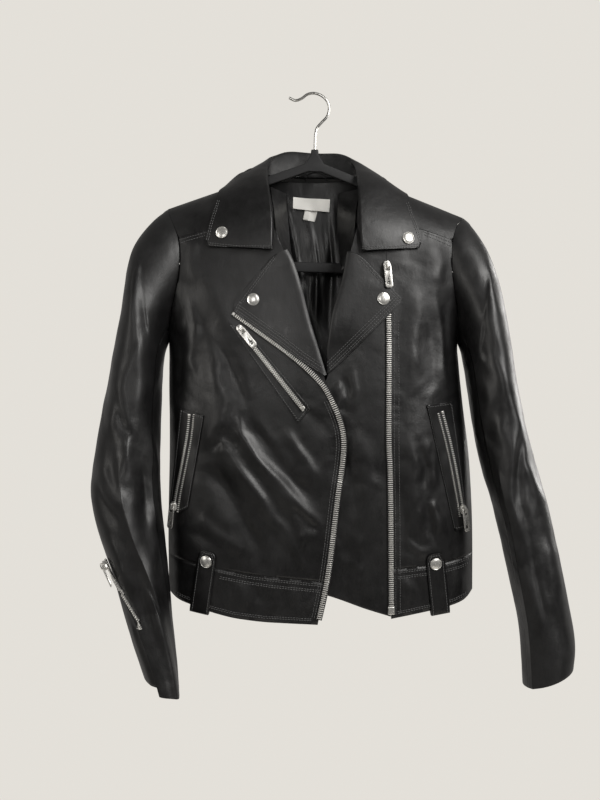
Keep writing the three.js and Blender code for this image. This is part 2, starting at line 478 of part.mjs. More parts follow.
// ---- Lapels: each turns over the roll line and lies on its front -----------------------------
const ROLL_SECTION = [{ out: 2.2, lift: -0.4 }, { out: 3.2, lift: 2.4 }, { out: 0.6, lift: 4.0 }];
for (const side of ['left', 'right']) {
  const { top, outer, bottom, inwards } = LAPELS[side];
  const roll = ROLL[side].slice(1), rows = steps(12), cols = steps(7);
  const low = side === 'right' ? dip : () => 0;
  const T = lineOf([roll[0], ...top.slice(1)]), B = lineOf(bottom), R = lineOf(roll), O = lineOf(outer);
  const grid = rows.map((v) => {
    const taper = 1 - 0.6 * smooth((v - 0.7) / 0.3);
    const a = R(clamp(v - 0.02, 0, 1)), b = R(clamp(v + 0.02, 0, 1));
    const long = Math.hypot(b[0] - a[0], b[1] - a[1]);
    const ox = inwards * abs(b[1] - a[1]) / long, oz = (b[0] - a[0]) / long * inwards * sign(-(b[1] - a[1]));
    const [rx, rz] = R(v);
    const turn = ROLL_SECTION.map(({ out, lift }) => {
      const x = rx + ox * out * (0.5 + taper / 2), z = rz + oz * out * (0.5 + taper / 2);
      return lifted('front', x, z, lift * taper + (1 - taper) * 1.5 + low(rx, rz));
    });
    const leaf = cols.slice(1).map((u) => {
      const c = [0, 1].map((k) => (1 - v) * T(u)[k] + v * B(u)[k] + (1 - u) * R(v)[k] + u * O(v)[k]
        - (1 - u) * (1 - v) * T(0)[k] - u * (1 - v) * T(1)[k] - (1 - u) * v * B(0)[k] - u * v * B(1)[k]);
      return lifted('front', c[0], c[1], 2.1 + 2.2 * (1 - u) ** 3 * taper + low(c[0], c[1]));
    });
    return [...turn, ...leaf];
  });
  add(`lapel_${side}`, wall(grid, movedIn(grid, COLLAR - 0.2, side === 'left' ? -1 : 1)), 'leather');
}

// ---- Collar --------------------------------------------------------------------------------
function collarGrid() {
  const edge = (s) => {
    if (s.face === 'ridge') return V(s.edgeX, 0, ridge(s.edgeX) + 3.6);
    return lifted(s.face, s.edgeX, s.edgeZ, abs(s.edgeX) > 90 && s.edgeZ > -145 ? 6.2 : 3.4);
  };
  const seam = (s) => {
    if (s.face === 'ridge') return V(s.seamX, 0, ridge(s.seamX) + 0.3);
    const sgn = sign(s.seamX);
    if (s.over) return lifted('front', s.seamX, s.seamZ, s.over);
    if (s.face === 'front') return V(s.seamX - sgn * 2.6, surface('front', s.seamX, s.seamZ).y - 0.5,
      s.seamZ);
    return V(s.seamX, surface('back', s.seamX, s.seamZ - 1.2).y - 0.8, s.seamZ);
  };
  const E = COLLAR_STATIONS.map(edge), R = COLLAR_STATIONS.map((s) => V(...s.roll));
  const N = COLLAR_STATIONS.map(seam);
  return COLLAR_STATIONS.map((s, i) => {
    const a = max(0, i - 1), b = min(E.length - 1, i + 1);
    const run = R[b].clone().sub(R[a]).add(E[b].clone().sub(E[a]));
    const leaf = E[i].clone().sub(R[i]), d = leaf.clone().normalize();
    const out = run.cross(leaf).normalize();
    const bulge = s.face === 'back' ? 7 : s.face === 'ridge' ? 8 : 2.5;
    const turnIn = R[i].clone().addScaledVector(d, 1.8).addScaledVector(out, -3);
    const at = (f) => R[i].clone().lerp(E[i], f).addScaledVector(out,
      3 * (1 - f) ** 2 + bulge * sin(PI * f ** 0.8));
    return [N[i], N[i].clone().lerp(turnIn, 0.55), turnIn, R[i],
      R[i].clone().addScaledVector(d, 1.6).addScaledVector(out, 2.9), at(0.2), at(0.45), at(0.72), E[i]];
  });
}
const collarPoints = collarGrid();
add('collar', wall(collarPoints, movedIn(collarPoints, COLLAR, -1)), 'leather');

// ---- Facings and lining inside the neck -----------------------------------------------------
function ruled(name, rowsA, rowsB, across, thick, side, finish) {
  const grid = rowsA.map((a, i) => steps(across).map((t) => {
    const p = V(...a).lerp(V(...rowsB[i]), t);
    return p;
  }));
  return add(name, wall(grid, movedIn(grid, thick, side)), finish);
}
const frontIn = (x, z, inwards) => [x, -depth('front', x, z) + inwards, z];
ruled('facing_left',
  [[-57.5, -8, -123], [-56, -22, -140], [-52, -33, -160], frontIn(-51, -182, 2.4),
    frontIn(-46.5, -200, 2.8), frontIn(-40.5, -216, 3.4)],
  [[-38, 12, -126], [-37, 12, -142], [-36, 9, -160], [-34, 2, -182], [-32, -12, -203], frontIn(-29, -221, 6)],
  4, LEATHER, 1, 'leather');
ruled('facing_right',
  [[57.5, -8, -126], [56, -22, -142], [52, -33, -160], frontIn(51, -184, 2.4), frontIn(47, -205, 2.6),
    frontIn(42, -232, 3.4)],
  [[32, 12, -126], [31, 12, -142], [31, 9, -160], [31, 0, -184], [32, -14, -207], frontIn(33, -236, 6)],
  4, LEATHER, -1, 'leather');
const liningY = (x, z) => depth('back', x, z) - LEATHER - SATIN - 1.8
  - fold(LINING_FOLDS, x, z) * smooth((-106 - z) / 12);
function liningPoint(x, z, lift = 0) { return V(x, liningY(x, z) - lift, z); }
const liningGrid = (lift) => steps(11).map((t) => steps(18).map((s) => {
  const x = -74 + 148 * s, top = -110 - 0.25 * max(0, abs(x) - 40), z = top + (-410 - top) * t;
  return liningPoint(x, z, lift);
}));
add('lining_back', wall(liningGrid(0), liningGrid(-SATIN)), 'satin');

// ---- Sleeves -------------------------------------------------------------------------------
const RADIAN = PI / 180;
function sleeveRing(side, row, angle) {
  const rows = SLEEVES[side].map((r, i) => ({ ...r, i }));
  const get = (key) => column(rows, key, 'i', row), sgn = side === 'left' ? -1 : 1;
  const turn = get('turn') * RADIAN, deep = get('deep');
  const centre = V((get('outer') + get('inner')) / 2, get('y'), (get('outerZ') + get('innerZ')) / 2);
  const reach = abs(get('outer') - get('inner')) / 2;
  const half = sqrt(max(1, reach ** 2 - (deep * sin(turn)) ** 2)) / cos(turn);
  const rise = (get('outerZ') - get('innerZ')) / 2, a = angle * RADIAN;
  const O = V(sgn * half * cos(turn), -half * sin(turn), rise);
  const F = V(-sgn * deep * sin(turn), -deep * cos(turn), 0);
  return { point: centre.clone().addScaledVector(O, cos(a)).addScaledVector(F, sin(a)), centre };
}
function armholePoint(side, angle) {
  const sgn = side === 'left' ? -1 : 1, top = shoulderZ[side];
  const z = (top + UNDERARM) / 2 + (top - UNDERARM) / 2 * cos(angle * RADIAN);
  const face = sin(angle * RADIAN) >= 0 ? 'front' : 'back';
  const x = armLine(side, z), y = faceSign(face) * (depth(face, x, z) - SEAM * 0.7);
  return V(x + sgn * (SEAM + 0.3 + 1.1 * sin(angle * RADIAN) ** 2),
    abs(sin(angle * RADIAN)) < 1e-6 ? 0 : y, z);
}
function sleeveFold(side, row, angle) {
  let sum = 0;
  for (const f of SLEEVE_FOLDS[side]) {
    const t = clamp((row - f.row0) / (f.row1 - f.row0), 0, 1);
    const away = max(f.row0 - row, row - f.row1, 0) / 1.2;
    let off = ((angle - (f.angle0 + (f.angle1 - f.angle0) * t)) % 360 + 540) % 360 - 180;
    sum += f.height * Math.exp(-((off / f.width) ** 2) - away * away);
  }
  return sum * smooth((row - 1) / 2);
}
function sleevePoint(side, row, angle, lift = 0) {
  const { point, centre } = sleeveRing(side, row, angle);
  const share = 1 - smooth(row / 3);
  if (share > 0) point.addScaledVector(armholePoint(side, angle).sub(sleeveRing(side, 0, angle).point),
    share);
  const out = point.clone().sub(centre);
  out.z *= 0.3;
  return point.addScaledVector(out.normalize(), lift + sleeveFold(side, row, angle));
}
const backSeam = (side, row) => column(BACK_SEAM[side], 'angle', 'row', row);
const seamAngle = (row) => 0.35 + 0.25 * smooth(1 - row / 2);
function sleeveWall(side, from, to, rows, around) {
  const grid = (lift) => rows.map((row) => steps(around).map((t) =>
    sleevePoint(side, row, from(row) + (to(row) - from(row)) * t, lift)));
  return wall(grid(0), grid(-LEATHER));
}
const SLEEVE_ROWS = [0, 0.5, 1, 2, 3, 4, 5, 6, 7, 8, 9, 10, 11, 12, 13, 14, 15, 16];
for (const side of ['left', 'right']) {
  const slit = (row) => (side === 'left' ? 3.5 * smooth((row - 13) / 2) : 0);
  const lower = SLEEVE_ROWS.slice(0, -1).concat(15.8);
  const upper = sleeveWall(side, (r) => backSeam(side, r) + seamAngle(r),
    (r) => FRONT_SEAM - seamAngle(r), SLEEVE_ROWS, 12);
  const under = sleeveWall(side, (r) => FRONT_SEAM + seamAngle(r),
    (r) => 360 + backSeam(side, r) - seamAngle(r) - slit(r), side === 'left' ? lower : SLEEVE_ROWS, 10);
  add(`sleeve_${side}_upper`, upper, 'leather');
  add(`sleeve_${side}_under`, under, 'leather');
}

// ---- Strips on the cloth: welts and zips ----------------------------------------------------
function strip(line, { from, to, low, high, sides = () => [from, to], step = 14 }) {
  const n = max(2, Math.round(lineLength(line) / step));
  const rowAt = (t, h) => {
    const a = along(line, t - 0.01), b = along(line, t + 0.01), [x, z] = along(line, t);
    const long = Math.hypot(b[0] - a[0], b[1] - a[1]), nx = -(b[1] - a[1]) / long, nz = (b[0] - a[0]) / long;
    return sides(z).map((w) => lifted('front', x + nx * w, z + nz * w, h));
  };
  return wall(steps(n).map((t) => rowAt(t, high)), steps(n).map((t) => rowAt(t, low)));
}
for (const [name, [a, b, c, d]] of Object.entries(WELTS)) {
  add(`welt_${name}`, panel('front', {
    top: lineOf([a, b]), bottom: lineOf([d, c]), left: lineOf([a, d]), right: lineOf([b, c]),
    across: steps(3), down: steps(11), lift: () => 2.2,
  }), 'leather');
}
// The left half runs under the lapel's lower edge, turns over at the break and goes down the front.
const turned = (z) => smooth((-368 - z) / 22);
add('zip_main_left', strip(ZIP_LEFT_LINE, { sides: (z) => [-4.2 + 2.7 * turned(z), 1.5 + 2.7 * turned(z)],
  low: 0.5, high: 1.5, step: 11 }), 'metal');
add('zip_main_right', strip([[88, -226], ...ZIP_RIGHT_LINE.slice(2, 8), [94.7, -664]],
  { from: -4, to: 4, low: 0.6, high: 1.7 }), 'metal');
for (const name of Object.keys(ZIP_POCKET)) {
  add(`zip_${name}`, strip(ZIP_POCKET[name], { from: -3.4, to: 3.4, low: 2.8, high: 3.8 }), 'metal');
}
const SLEEVE_ZIP = { left: { row0: 12.6, row1: 14.2 }, right: { row0: 12.4, row1: 15.6 } };
for (const side of ['left', 'right']) {
  const { row0, row1 } = SLEEVE_ZIP[side];
  const grid = (lift) => steps(7).map((t) => [-5.5, 5.5].map((w) => {
    const row = row0 + (row1 - row0) * t, low = Math.floor(row);
    const at = (r) => sleevePoint(side, r, backSeam(side, r) + w, lift);
    return at(low).lerp(at(low + 1), row - low);
  }));
  add(`zip_sleeve_${side}`, wall(grid(2.1), grid(1)), 'metal');
}

// ---- Belt loops: a strap down over the hem, turned up inside it --------------------------------
for (const side of ['left', 'right']) {
  const { top, bottom, half } = LOOPS[side];
  const dx = bottom[0] - top[0], dz = bottom[1] - top[1], long = Math.hypot(dx, dz);
  const ux = dx / long, uz = dz / long;
  const SECTION = [
    { down: 0, lift: 2.3, half: 6 }, { down: 3, lift: 2.3, half: 10 }, { down: 10, lift: 2.3, half: 12 },
    { down: 28, lift: 2.3, half: 12 }, { down: 46, lift: 2.3, half: 12 },
    { down: long - 5, lift: 2.6, half: 12 },
    { down: long, lift: 1.2, half: 12 }, { down: long, lift: -2.8, half: 12 },
    { down: long - 5, lift: -5.0, half: 12 },
    { down: long - 26, lift: -5.0, half: 12 },
  ];
  const grid = SECTION.map(({ down, lift, half: h }) => [-1, 0, 1].map((w) => {
    const x = top[0] + ux * down - uz * w * h, z = top[1] + uz * down + ux * w * h;
    return lifted('front', x, z, lift);
  }));
  add(`belt_loop_${side}`, wall(grid, movedIn(grid, LEATHER, -1)), 'leather');
}

// ---- Seats on the cloth -----------------------------------------------------------------------
// A frame on a mesh as seen from the front: its highest point near a place, and the mean normal.
function seat(mesh, x, z, { radius = 6, gap = SEAM } = {}) {
  const ray = new THREE.Raycaster(), hits = [];
  mesh.updateMatrixWorld();
  mesh.material.side = THREE.DoubleSide;
  for (let k = 0; k <= 8; k++) {
    const r = k === 8 ? 0 : radius, a = (k * PI) / 4;
    ray.set(V(x + r * cos(a), -400, z + r * sin(a)), V(0, 1, 0));
    const hit = ray.intersectObject(mesh)[0];
    if (hit) hits[k] = hit.point;
  }
  mesh.material.side = THREE.FrontSide;
  const n = V(0, 0, 0);
  for (let k = 0; k < 4; k++) {
    if (hits[k] && hits[k + 4] && hits[(k + 2) % 8] && hits[(k + 6) % 8]) {
      n.add(hits[k].clone().sub(hits[k + 4]).cross(hits[(k + 2) % 8].clone().sub(hits[(k + 6) % 8])));
    }
  }
  n.normalize();
  if (n.y > 0) n.negate();
  const centre = hits[8];
  const rise = max(...hits.filter(Boolean).map((p) => p.clone().sub(centre).dot(n)));
  const origin = centre.clone().addScaledVector(n, rise + gap);
  const t = V(0, 0, -1);
  t.addScaledVector(n, -t.dot(n)).normalize();
  return { origin, n, down: t, across: t.clone().cross(n).normalize() };
}
// Places a geometry made with +Z off the cloth and -Y down along it.
function place(geometry, { origin, n, down, across }) {
  const m = new THREE.Matrix4().makeBasis(across, down.clone().negate(), n).setPosition(origin);
  if (m.determinant() < 0) m.makeBasis(across.clone().negate(), down.clone().negate(), n).setPosition(origin);
  return geometry.applyMatrix4(m);
}
function closed(geometry) {
  const bare = geometry.index ? geometry.toNonIndexed() : geometry;
  bare.deleteAttribute('normal');
  bare.deleteAttribute('uv');
  return mergeVertices(bare, 1e-4);
}
function toSolid(geometry) {
  const g = closed(geometry);
  return new wasm.Manifold(new wasm.Mesh({ numProp: 3,
    vertProperties: new Float32Array(g.attributes.position.array),
    triVerts: new Uint32Array(g.index.array) }));
}
function fromSolid(solid) {
  const { vertProperties, triVerts } = solid.getMesh(), g = new THREE.BufferGeometry();
  g.setAttribute('position', new THREE.Float32BufferAttribute(vertProperties, 3));
  g.setIndex(Array.from(triVerts));
  g.computeVertexNormals();
  return g;
}
const byName = (name) => group.children.find((m) => m.name === name);

// ---- Snaps -------------------------------------------------------------------------------------
function snapGeometry() {
  const { radius: r, height: h } = SNAP;
  const profile = [[0, 0], [r - 0.6, 0], [r, 0.6], [r, 1.2], [r - 1.4, h - 0.3], [r - 3.2, h], [0, h - 0.5]];
  return new THREE.LatheGeometry(profile.map(([a, b]) => new THREE.Vector2(a, b)), 12).rotateX(PI / 2);
}
const SNAPS = {
  snap_collar_left: { on: 'collar', x: -116, z: -189 },
  snap_collar_right: { on: 'collar', x: 115.4, z: -196 },
  snap_lapel_left: { on: 'lapel_left', x: -76.6, z: -273 },
  snap_lapel_right: { on: 'lapel_right', x: 84, z: -272 },
  snap_loop_left: { on: 'belt_loop_left', x: -136.3, z: -599, radius: 5 },
  snap_loop_right: { on: 'belt_loop_right', x: 151, z: -602, radius: 5 },
};
for (const [name, { on, x, z, radius = 6.5 }] of Object.entries(SNAPS)) {
  add(name, closed(place(snapGeometry(), seat(byName(on), x, z, { radius }))), 'metal');
}

// ---- Zip sliders and pull tabs ----------------------------------------------------------------
const PIN_HEIGHT = SLIDER.tall + 1.9;        // height of the pull's hinge line above the slider's foot
function shape(points) { return new THREE.Shape(points.map(([x, y]) => new THREE.Vector2(x, y))); }
function sliderGeometry() {
  const { wide, long, tall, bridge } = SLIDER, w = wide / 2, l = long / 2;
  const body = new THREE.ExtrudeGeometry(shape([[-w + 1.6, -l], [w - 1.6, -l], [w, -l + 2.5], [w, l - 3],
    [w - 1.6, l], [-w + 1.6, l], [-w, l - 3], [-w, -l + 2.5]]), { depth: tall, bevelEnabled: false });
  const arch = shape([[-4, tall - 0.8], [4, tall - 0.8], [4, PIN_HEIGHT + 1], [2.4, PIN_HEIGHT + 2.4],
    [-2.4, PIN_HEIGHT + 2.4], [-4, PIN_HEIGHT + 1]]);
  arch.holes.push(new THREE.Path([[-2.6, tall + 0.3], [-2.6, PIN_HEIGHT + 0.8], [-1.8, PIN_HEIGHT + 1.4],
    [1.8, PIN_HEIGHT + 1.4], [2.6, PIN_HEIGHT + 0.8], [2.6, tall + 0.3]]
    .map(([x, y]) => new THREE.Vector2(x, y))));
  const bow = new THREE.ExtrudeGeometry(arch, { depth: bridge, bevelEnabled: false });
  bow.translate(0, 0, -bridge / 2).rotateX(PI / 2).rotateZ(PI / 2);
  return fromSolid(toSolid(body).add(toSolid(bow)));
}
function pullGeometry() {
  const w = PULL.wide / 2, l = PULL.long;
  const tab = shape([[-w + 1.2, 1], [w - 1.2, 1], [w, -0.5], [w, -l + 2], [w - 1.6, -l], [-w + 1.6, -l],
    [-w, -l + 2], [-w, -0.5]]);
  const hole = (x, top, bottom) => new THREE.Path([[-x, top], [-x, bottom], [x, bottom], [x, top]]
    .map(([a, b]) => new THREE.Vector2(a, b)));
  tab.holes.push(hole(2.5, -0.8, -7), hole(1.6, -l + 9, -l + 4));
  return new THREE.ExtrudeGeometry(tab, { depth: PULL.thick, bevelEnabled: false })
    .translate(0, 0, PIN_HEIGHT - PULL.thick / 2);
}
const SLIDERS = {
  main: { x: 88.2, z: -231, lift: 2.1, down: [0.1, -1] },
  chest: { x: -92.3, z: -310.6, lift: 4.3, down: [0.62, -0.78] },
  hand_left: { x: -175.6, z: -531.5, lift: 4.3, down: [-0.16, -1] },
  hand_right: { x: 184.3, z: -535, lift: 4.3, down: [0.18, -1] },
};
export const pullFrames = {};
function addSlider(name, frame) {
  add(`slider_${name}`, closed(place(sliderGeometry(), frame)), 'metal');
  add(`pull_${name}`, closed(place(pullGeometry(), frame)), 'metal');
  pullFrames[name] = { at: frame.origin.clone().addScaledVector(frame.n, PIN_HEIGHT), ...frame };
}
for (const [name, { x, z, lift, down: [dx, dz] }] of Object.entries(SLIDERS)) {
  const n = normalAt('front', x, z), down = V(dx, 0, dz);
  down.addScaledVector(n, -down.dot(n)).normalize();
  addSlider(name, { origin: lifted('front', x, z, lift), n, down,
    across: down.clone().cross(n).normalize() });
}
for (const side of ['left', 'right']) {
  const row = SLEEVE_ZIP[side].row0 + 0.12, angle = backSeam(side, row);
  const at = (r, da, lift) => sleevePoint(side, r, backSeam(side, r) + da, lift);
  const origin = at(row, 0, 2.4), down = at(row + 0.3, 0, 2.4).sub(origin).normalize();
  const across = at(row, 3, 2.6).sub(at(row, -3, 2.6)).normalize();
  let n = across.clone().cross(down).normalize();
  if (n.dot(origin.clone().sub(sleeveRing(side, row, angle).centre)) < 0) n.negate();
  const hold = down.clone().cross(n).normalize();
  addSlider(`sleeve_${side}`, { origin, n, down, across: hold });
}

// ---- Label, size tab and hanging loop -----------------------------------------------------------
function patch(name, corners, lift, thick, finish) {
  const grid = (h) => steps(2).map((t) => steps(6).map((s) => {
    const [a, b, c, d] = corners;
    const x = (1 - t) * ((1 - s) * a[0] + s * b[0]) + t * ((1 - s) * d[0] + s * c[0]);
    const z = (1 - t) * ((1 - s) * a[1] + s * b[1]) + t * ((1 - s) * d[1] + s * c[1]);
    return V(x, min(liningY(x, z), liningY(x - 3, z), liningY(x + 3, z), liningY(x, z - 4)) - lift - h, z);
  }));
  add(name, wall(grid(thick), grid(0)), finish);
}
patch('label', [[-27.8, -128.6], [20.9, -132], [19.8, -148.6], [-28.3, -143.8]], 2.2, 0.6, 'label');
patch('size_tab', [[-11.2, -140], [5.9, -141], [0.6, -160.5], [-15.3, -158.3]], 0.5, 0.5, 'label');
const LOOP_BOW = [[-11, 17.2, -108], [-9.5, 14.4, -101.5], [-4, 13.2, -98.5], [5, 13.2, -98.5],
  [13, 14.6, -101], [15.5, 17.2, -108.5]];
const loopPath = new THREE.CatmullRomCurve3(LOOP_BOW.map((p) => V(...p)));
add('hanging_loop', closed(new THREE.ExtrudeGeometry(shape([[-0.6, -2], [0.6, -2], [0.6, 2], [-0.6, 2]]),
  { steps: 14, extrudePath: loopPath, bevelEnabled: false })), 'leather');

// ---- Hanger ------------------------------------------------------------------------------------
const HOOK_PATH = [[-33, -4.2], [-25, -7.6], [-17, -5.2], [-9, 0.4], [0, 1.75], [9, -1.4], [16, -8],
  [19, -17.5],
  [16.5, -28], [9, -36.5], [3.2, -43.5], [1.2, -52], [0.6, -62], [0.4, -71.5]];
const hookCurve = new THREE.CatmullRomCurve3(HOOK_PATH.map(([x, z]) => V(x, 0, z)));
add('hanger_hook', closed(new THREE.ExtrudeGeometry(new THREE.Shape(steps(7).map((t) =>
  new THREE.Vector2(WIRE / 2 * cos(t * 1.75 * PI), WIRE / 2 * sin(t * 1.75 * PI)))),
{ steps: 32, extrudePath: hookCurve, bevelEnabled: false })), 'metal');
const under = (x) => ridge(x) - LEATHER - 1.35;
const armTop = [-ARM.reach, -130, -66, -12, -5, -4.4, 4.8, 5.4, 12, 66, 130, ARM.reach]
  .map((x) => [x, abs(x) < 6 ? (abs(x) < 4.9 ? -71.9 : -79) : under(x)]);
const armLow = [ARM.reach, 130, 66, 8, -8, -66, -130, -ARM.reach].map((x) => [x, under(x) - ARM.tall]);
const barLeft = BAR.z - RIDGE_TILT * -ARM.reach, barRight = BAR.z - RIDGE_TILT * ARM.reach;
const frameOutline = [...armTop,
  [ARM.reach + 6, under(ARM.reach) - 7], [ARM.reach + 8, under(ARM.reach) - 20],
  [ARM.reach + 2, barRight + 4],
  [ARM.reach - 8, barRight - BAR.tall / 2], [ARM.reach - 22, barRight - BAR.tall / 2]];
const armsShape = shape([...frameOutline, [ARM.reach - 22, barRight + BAR.tall / 2],
  [ARM.reach - 12, barRight + BAR.tall / 2],
  [ARM.reach - 7, barRight + 12], [ARM.reach - 5, under(ARM.reach) - 20], ...armLow.slice(0, -1),
  [-ARM.reach + 5, under(-ARM.reach) - 18], [-ARM.reach + 7, barLeft + 12],
  [-ARM.reach + 12, barLeft + BAR.tall / 2],
  [-ARM.reach + 22, barLeft + BAR.tall / 2], [-ARM.reach + 22, barLeft - BAR.tall / 2],
  [-ARM.reach + 8, barLeft - BAR.tall / 2],
  [-ARM.reach - 2, barLeft + 4], [-ARM.reach - 8, under(-ARM.reach) - 20],
  [-ARM.reach - 6, under(-ARM.reach) - 7]]);
add('hanger_arms', closed(new THREE.ExtrudeGeometry(armsShape, { depth: ARM.thick, bevelEnabled: false })
  .rotateX(PI / 2).translate(0, ARM.thick / 2, 0)), 'plastic');
const bl = -ARM.reach + 22.3, br = ARM.reach - 22.3;
const barZ = (x) => BAR.z - RIDGE_TILT * x;
add('hanger_bar', closed(new THREE.ExtrudeGeometry(shape([[bl, barZ(bl) - BAR.tall / 2],
  [br, barZ(br) - BAR.tall / 2],
  [br, barZ(br) + BAR.tall / 2], [bl, barZ(bl) + BAR.tall / 2]]), { depth: BAR.thick, bevelEnabled: false })
  .rotateX(PI / 2).translate(0, BAR.thick / 2, 0)), 'plastic');

export default group;
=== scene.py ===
# Leather biker jacket on a slim hanger: looks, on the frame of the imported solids.
import math
from contextlib import contextmanager

import bmesh
import bpy
import numpy as np
from bpy.props import FloatProperty, FloatVectorProperty, IntProperty, PointerProperty
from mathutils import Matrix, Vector
from mathutils.bvhtree import BVHTree


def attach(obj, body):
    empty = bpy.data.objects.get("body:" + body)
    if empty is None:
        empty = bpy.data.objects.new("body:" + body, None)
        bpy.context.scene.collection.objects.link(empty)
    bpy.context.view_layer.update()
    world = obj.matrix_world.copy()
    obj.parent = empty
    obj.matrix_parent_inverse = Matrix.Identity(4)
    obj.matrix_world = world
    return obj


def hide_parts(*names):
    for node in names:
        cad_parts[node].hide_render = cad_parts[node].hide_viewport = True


bl_info = {
    "name": "Leather jacket on hanger",
    "version": (1, 0, 0),
    "blender": (4, 5, 0),
    "location": "View3D > Sidebar > Jacket",
    "description": "Builds a leather biker jacket that hangs open on a slim hanger",
    "category": "Object",
}

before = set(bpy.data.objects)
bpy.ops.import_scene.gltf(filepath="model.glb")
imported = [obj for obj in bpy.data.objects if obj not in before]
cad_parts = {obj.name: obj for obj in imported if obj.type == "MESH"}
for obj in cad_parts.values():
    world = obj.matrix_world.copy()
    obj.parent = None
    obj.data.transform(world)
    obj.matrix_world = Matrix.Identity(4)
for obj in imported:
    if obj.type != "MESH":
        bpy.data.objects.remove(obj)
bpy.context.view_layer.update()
MM = 0.001
SIDES = ("left", "right")


# ---- Creases -----------------------------------------------------------------
def table(text):
    """Creases from rows of half width, height (minus is a trough), then x, z of each point. Millimetres."""
    rows = []
    for line in text.strip().splitlines():
        if not line.startswith("#"):
            width, height, *spots = (float(v) for v in line.split())
            rows.append((list(zip(spots[::2], spots[1::2])), width, height))
    return rows


FRONT_CREASES = table("""
# Left chest and side.
9 1.6  -165 -262  -150 -300  -158 -345  -146 -385
7 -1.4  -176 -300  -168 -340  -172 -392
11 1.5  -140 -318  -118 -352  -128 -392
8 -1.5  -118 -330  -98 -372  -84 -408
# Left front, below the chest pocket: broad rolls that run down to the zip.
11 4.0  -112 -392  -122 -440  -98 -478  -66 -520  -44 -566
9 3.4  -100 -400  -92 -438  -72 -470  -40 -500  -12 -536  4 -552
8 -3.0  -84 -420  -52 -462  -26 -500  0 -520
6 -2.0  -96 -456  -116 -446  -128 -462
11 -3.2  -130 -470  -104 -520  -78 -566  -62 -600
8 2.6  -40 -430  -12 -470  4 -500
5 -2.2  -28 -528  -10 -548  6 -562
6 1.5  -52 -540  -34 -562  -24 -590
5 1.2  -14 -560  -22 -588  -10 -610
9 1.4  -150 -540  -120 -566  -88 -590
6 -1.0  -20 -404  6 -424  22 -446
# Left hem band.
8 1.4  -96 -622  -88 -644  -92 -664
6 1.2  -60 -622  -46 -640  -52 -668
5 -1.2  -74 -626  -68 -650
5 0.9  -24 -630  -30 -655
# Underlap.
6 2.0  26 -372  34 -392  26 -412  40 -420
7 1.8  44 -352  50 -384  44 -414
4 -1.5  38 -368  40 -396
11 2.2  48 -430  62 -470  70 -500  60 -530
10 -2.0  32 -460  48 -500  52 -548
10 1.6  60 -560  52 -600  66 -640
9 1.4  22 -560  30 -600  20 -632
# Right front.
10 1.3  118 -250  128 -290  120 -330  130 -372
6 1.8  150 -262  160 -310  163 -360  168 -398
8 -1.2  142 -300  146 -350  140 -395
9 2.3  112 -440  124 -470  120 -500  128 -540  124 -590
7 1.6  132 -440  148 -462  150 -500  146 -512
5 -1.6  128 -452  140 -480  136 -512
6 1.7  146 -520  156 -548  164 -566
4 -1.5  138 -524  146 -552  150 -580
6 -1.4  104 -500  112 -548  108 -596
5 1.0  112 -570  132 -586  150 -584
7 1.3  184 -420  193 -470  199 -530
# Right hem band.
5 1.4  108 -614  118 -634  112 -656
5 -1.3  124 -612  132 -636  128 -658
6 1.0  178 -602  186 -624  182 -650
# Shoulders and collar zone.
10 1.3  -150 -190  -160 -222  -152 -258
10 1.3  148 -196  158 -226  150 -258
""")
BACK_CREASES = table("""
13 2.4  -150 -200  -118 -250  -98 -312  -104 -372
10 -2.0  -162 -260  -136 -312  -130 -372
13 2.2  150 -204  122 -256  98 -318  108 -380
9 -2.0  160 -268  138 -318  134 -368
13 1.6  -48 -180  -36 -250  -44 -330
12 1.5  40 -190  28 -262  38 -340
13 2.6  -120 -420  -96 -468  -64 -520  -58 -580
9 -2.2  -96 -420  -66 -470  -36 -528
10 1.8  -150 -460  -128 -516  -112 -580
13 2.3  10 -380  28 -440  48 -500  44 -575
10 -2.0  48 -400  74 -458  84 -520
11 2.0  120 -430  138 -486  124 -560
8 -1.5  160 -420  150 -480  162 -548
9 -1.6  -20 -440  -6 -500  -14 -570
7 1.3  -90 -615  -82 -634  -88 -650
7 1.2  30 -612  40 -632  34 -650
6 -1.1  110 -612  104 -630  110 -648
""")
BACK_FULLNESS = 1.45
LINING_CREASES = table("""
5 1.5  -40 -130  -26 -190  -14 -250
5 1.6  -6 -160  4 -220  2 -300
5 -1.4  18 -150  24 -220  18 -320
6 1.4  -22 -220  -10 -300  -8 -380
5 1.3  34 -160  40 -240  34 -330
""")
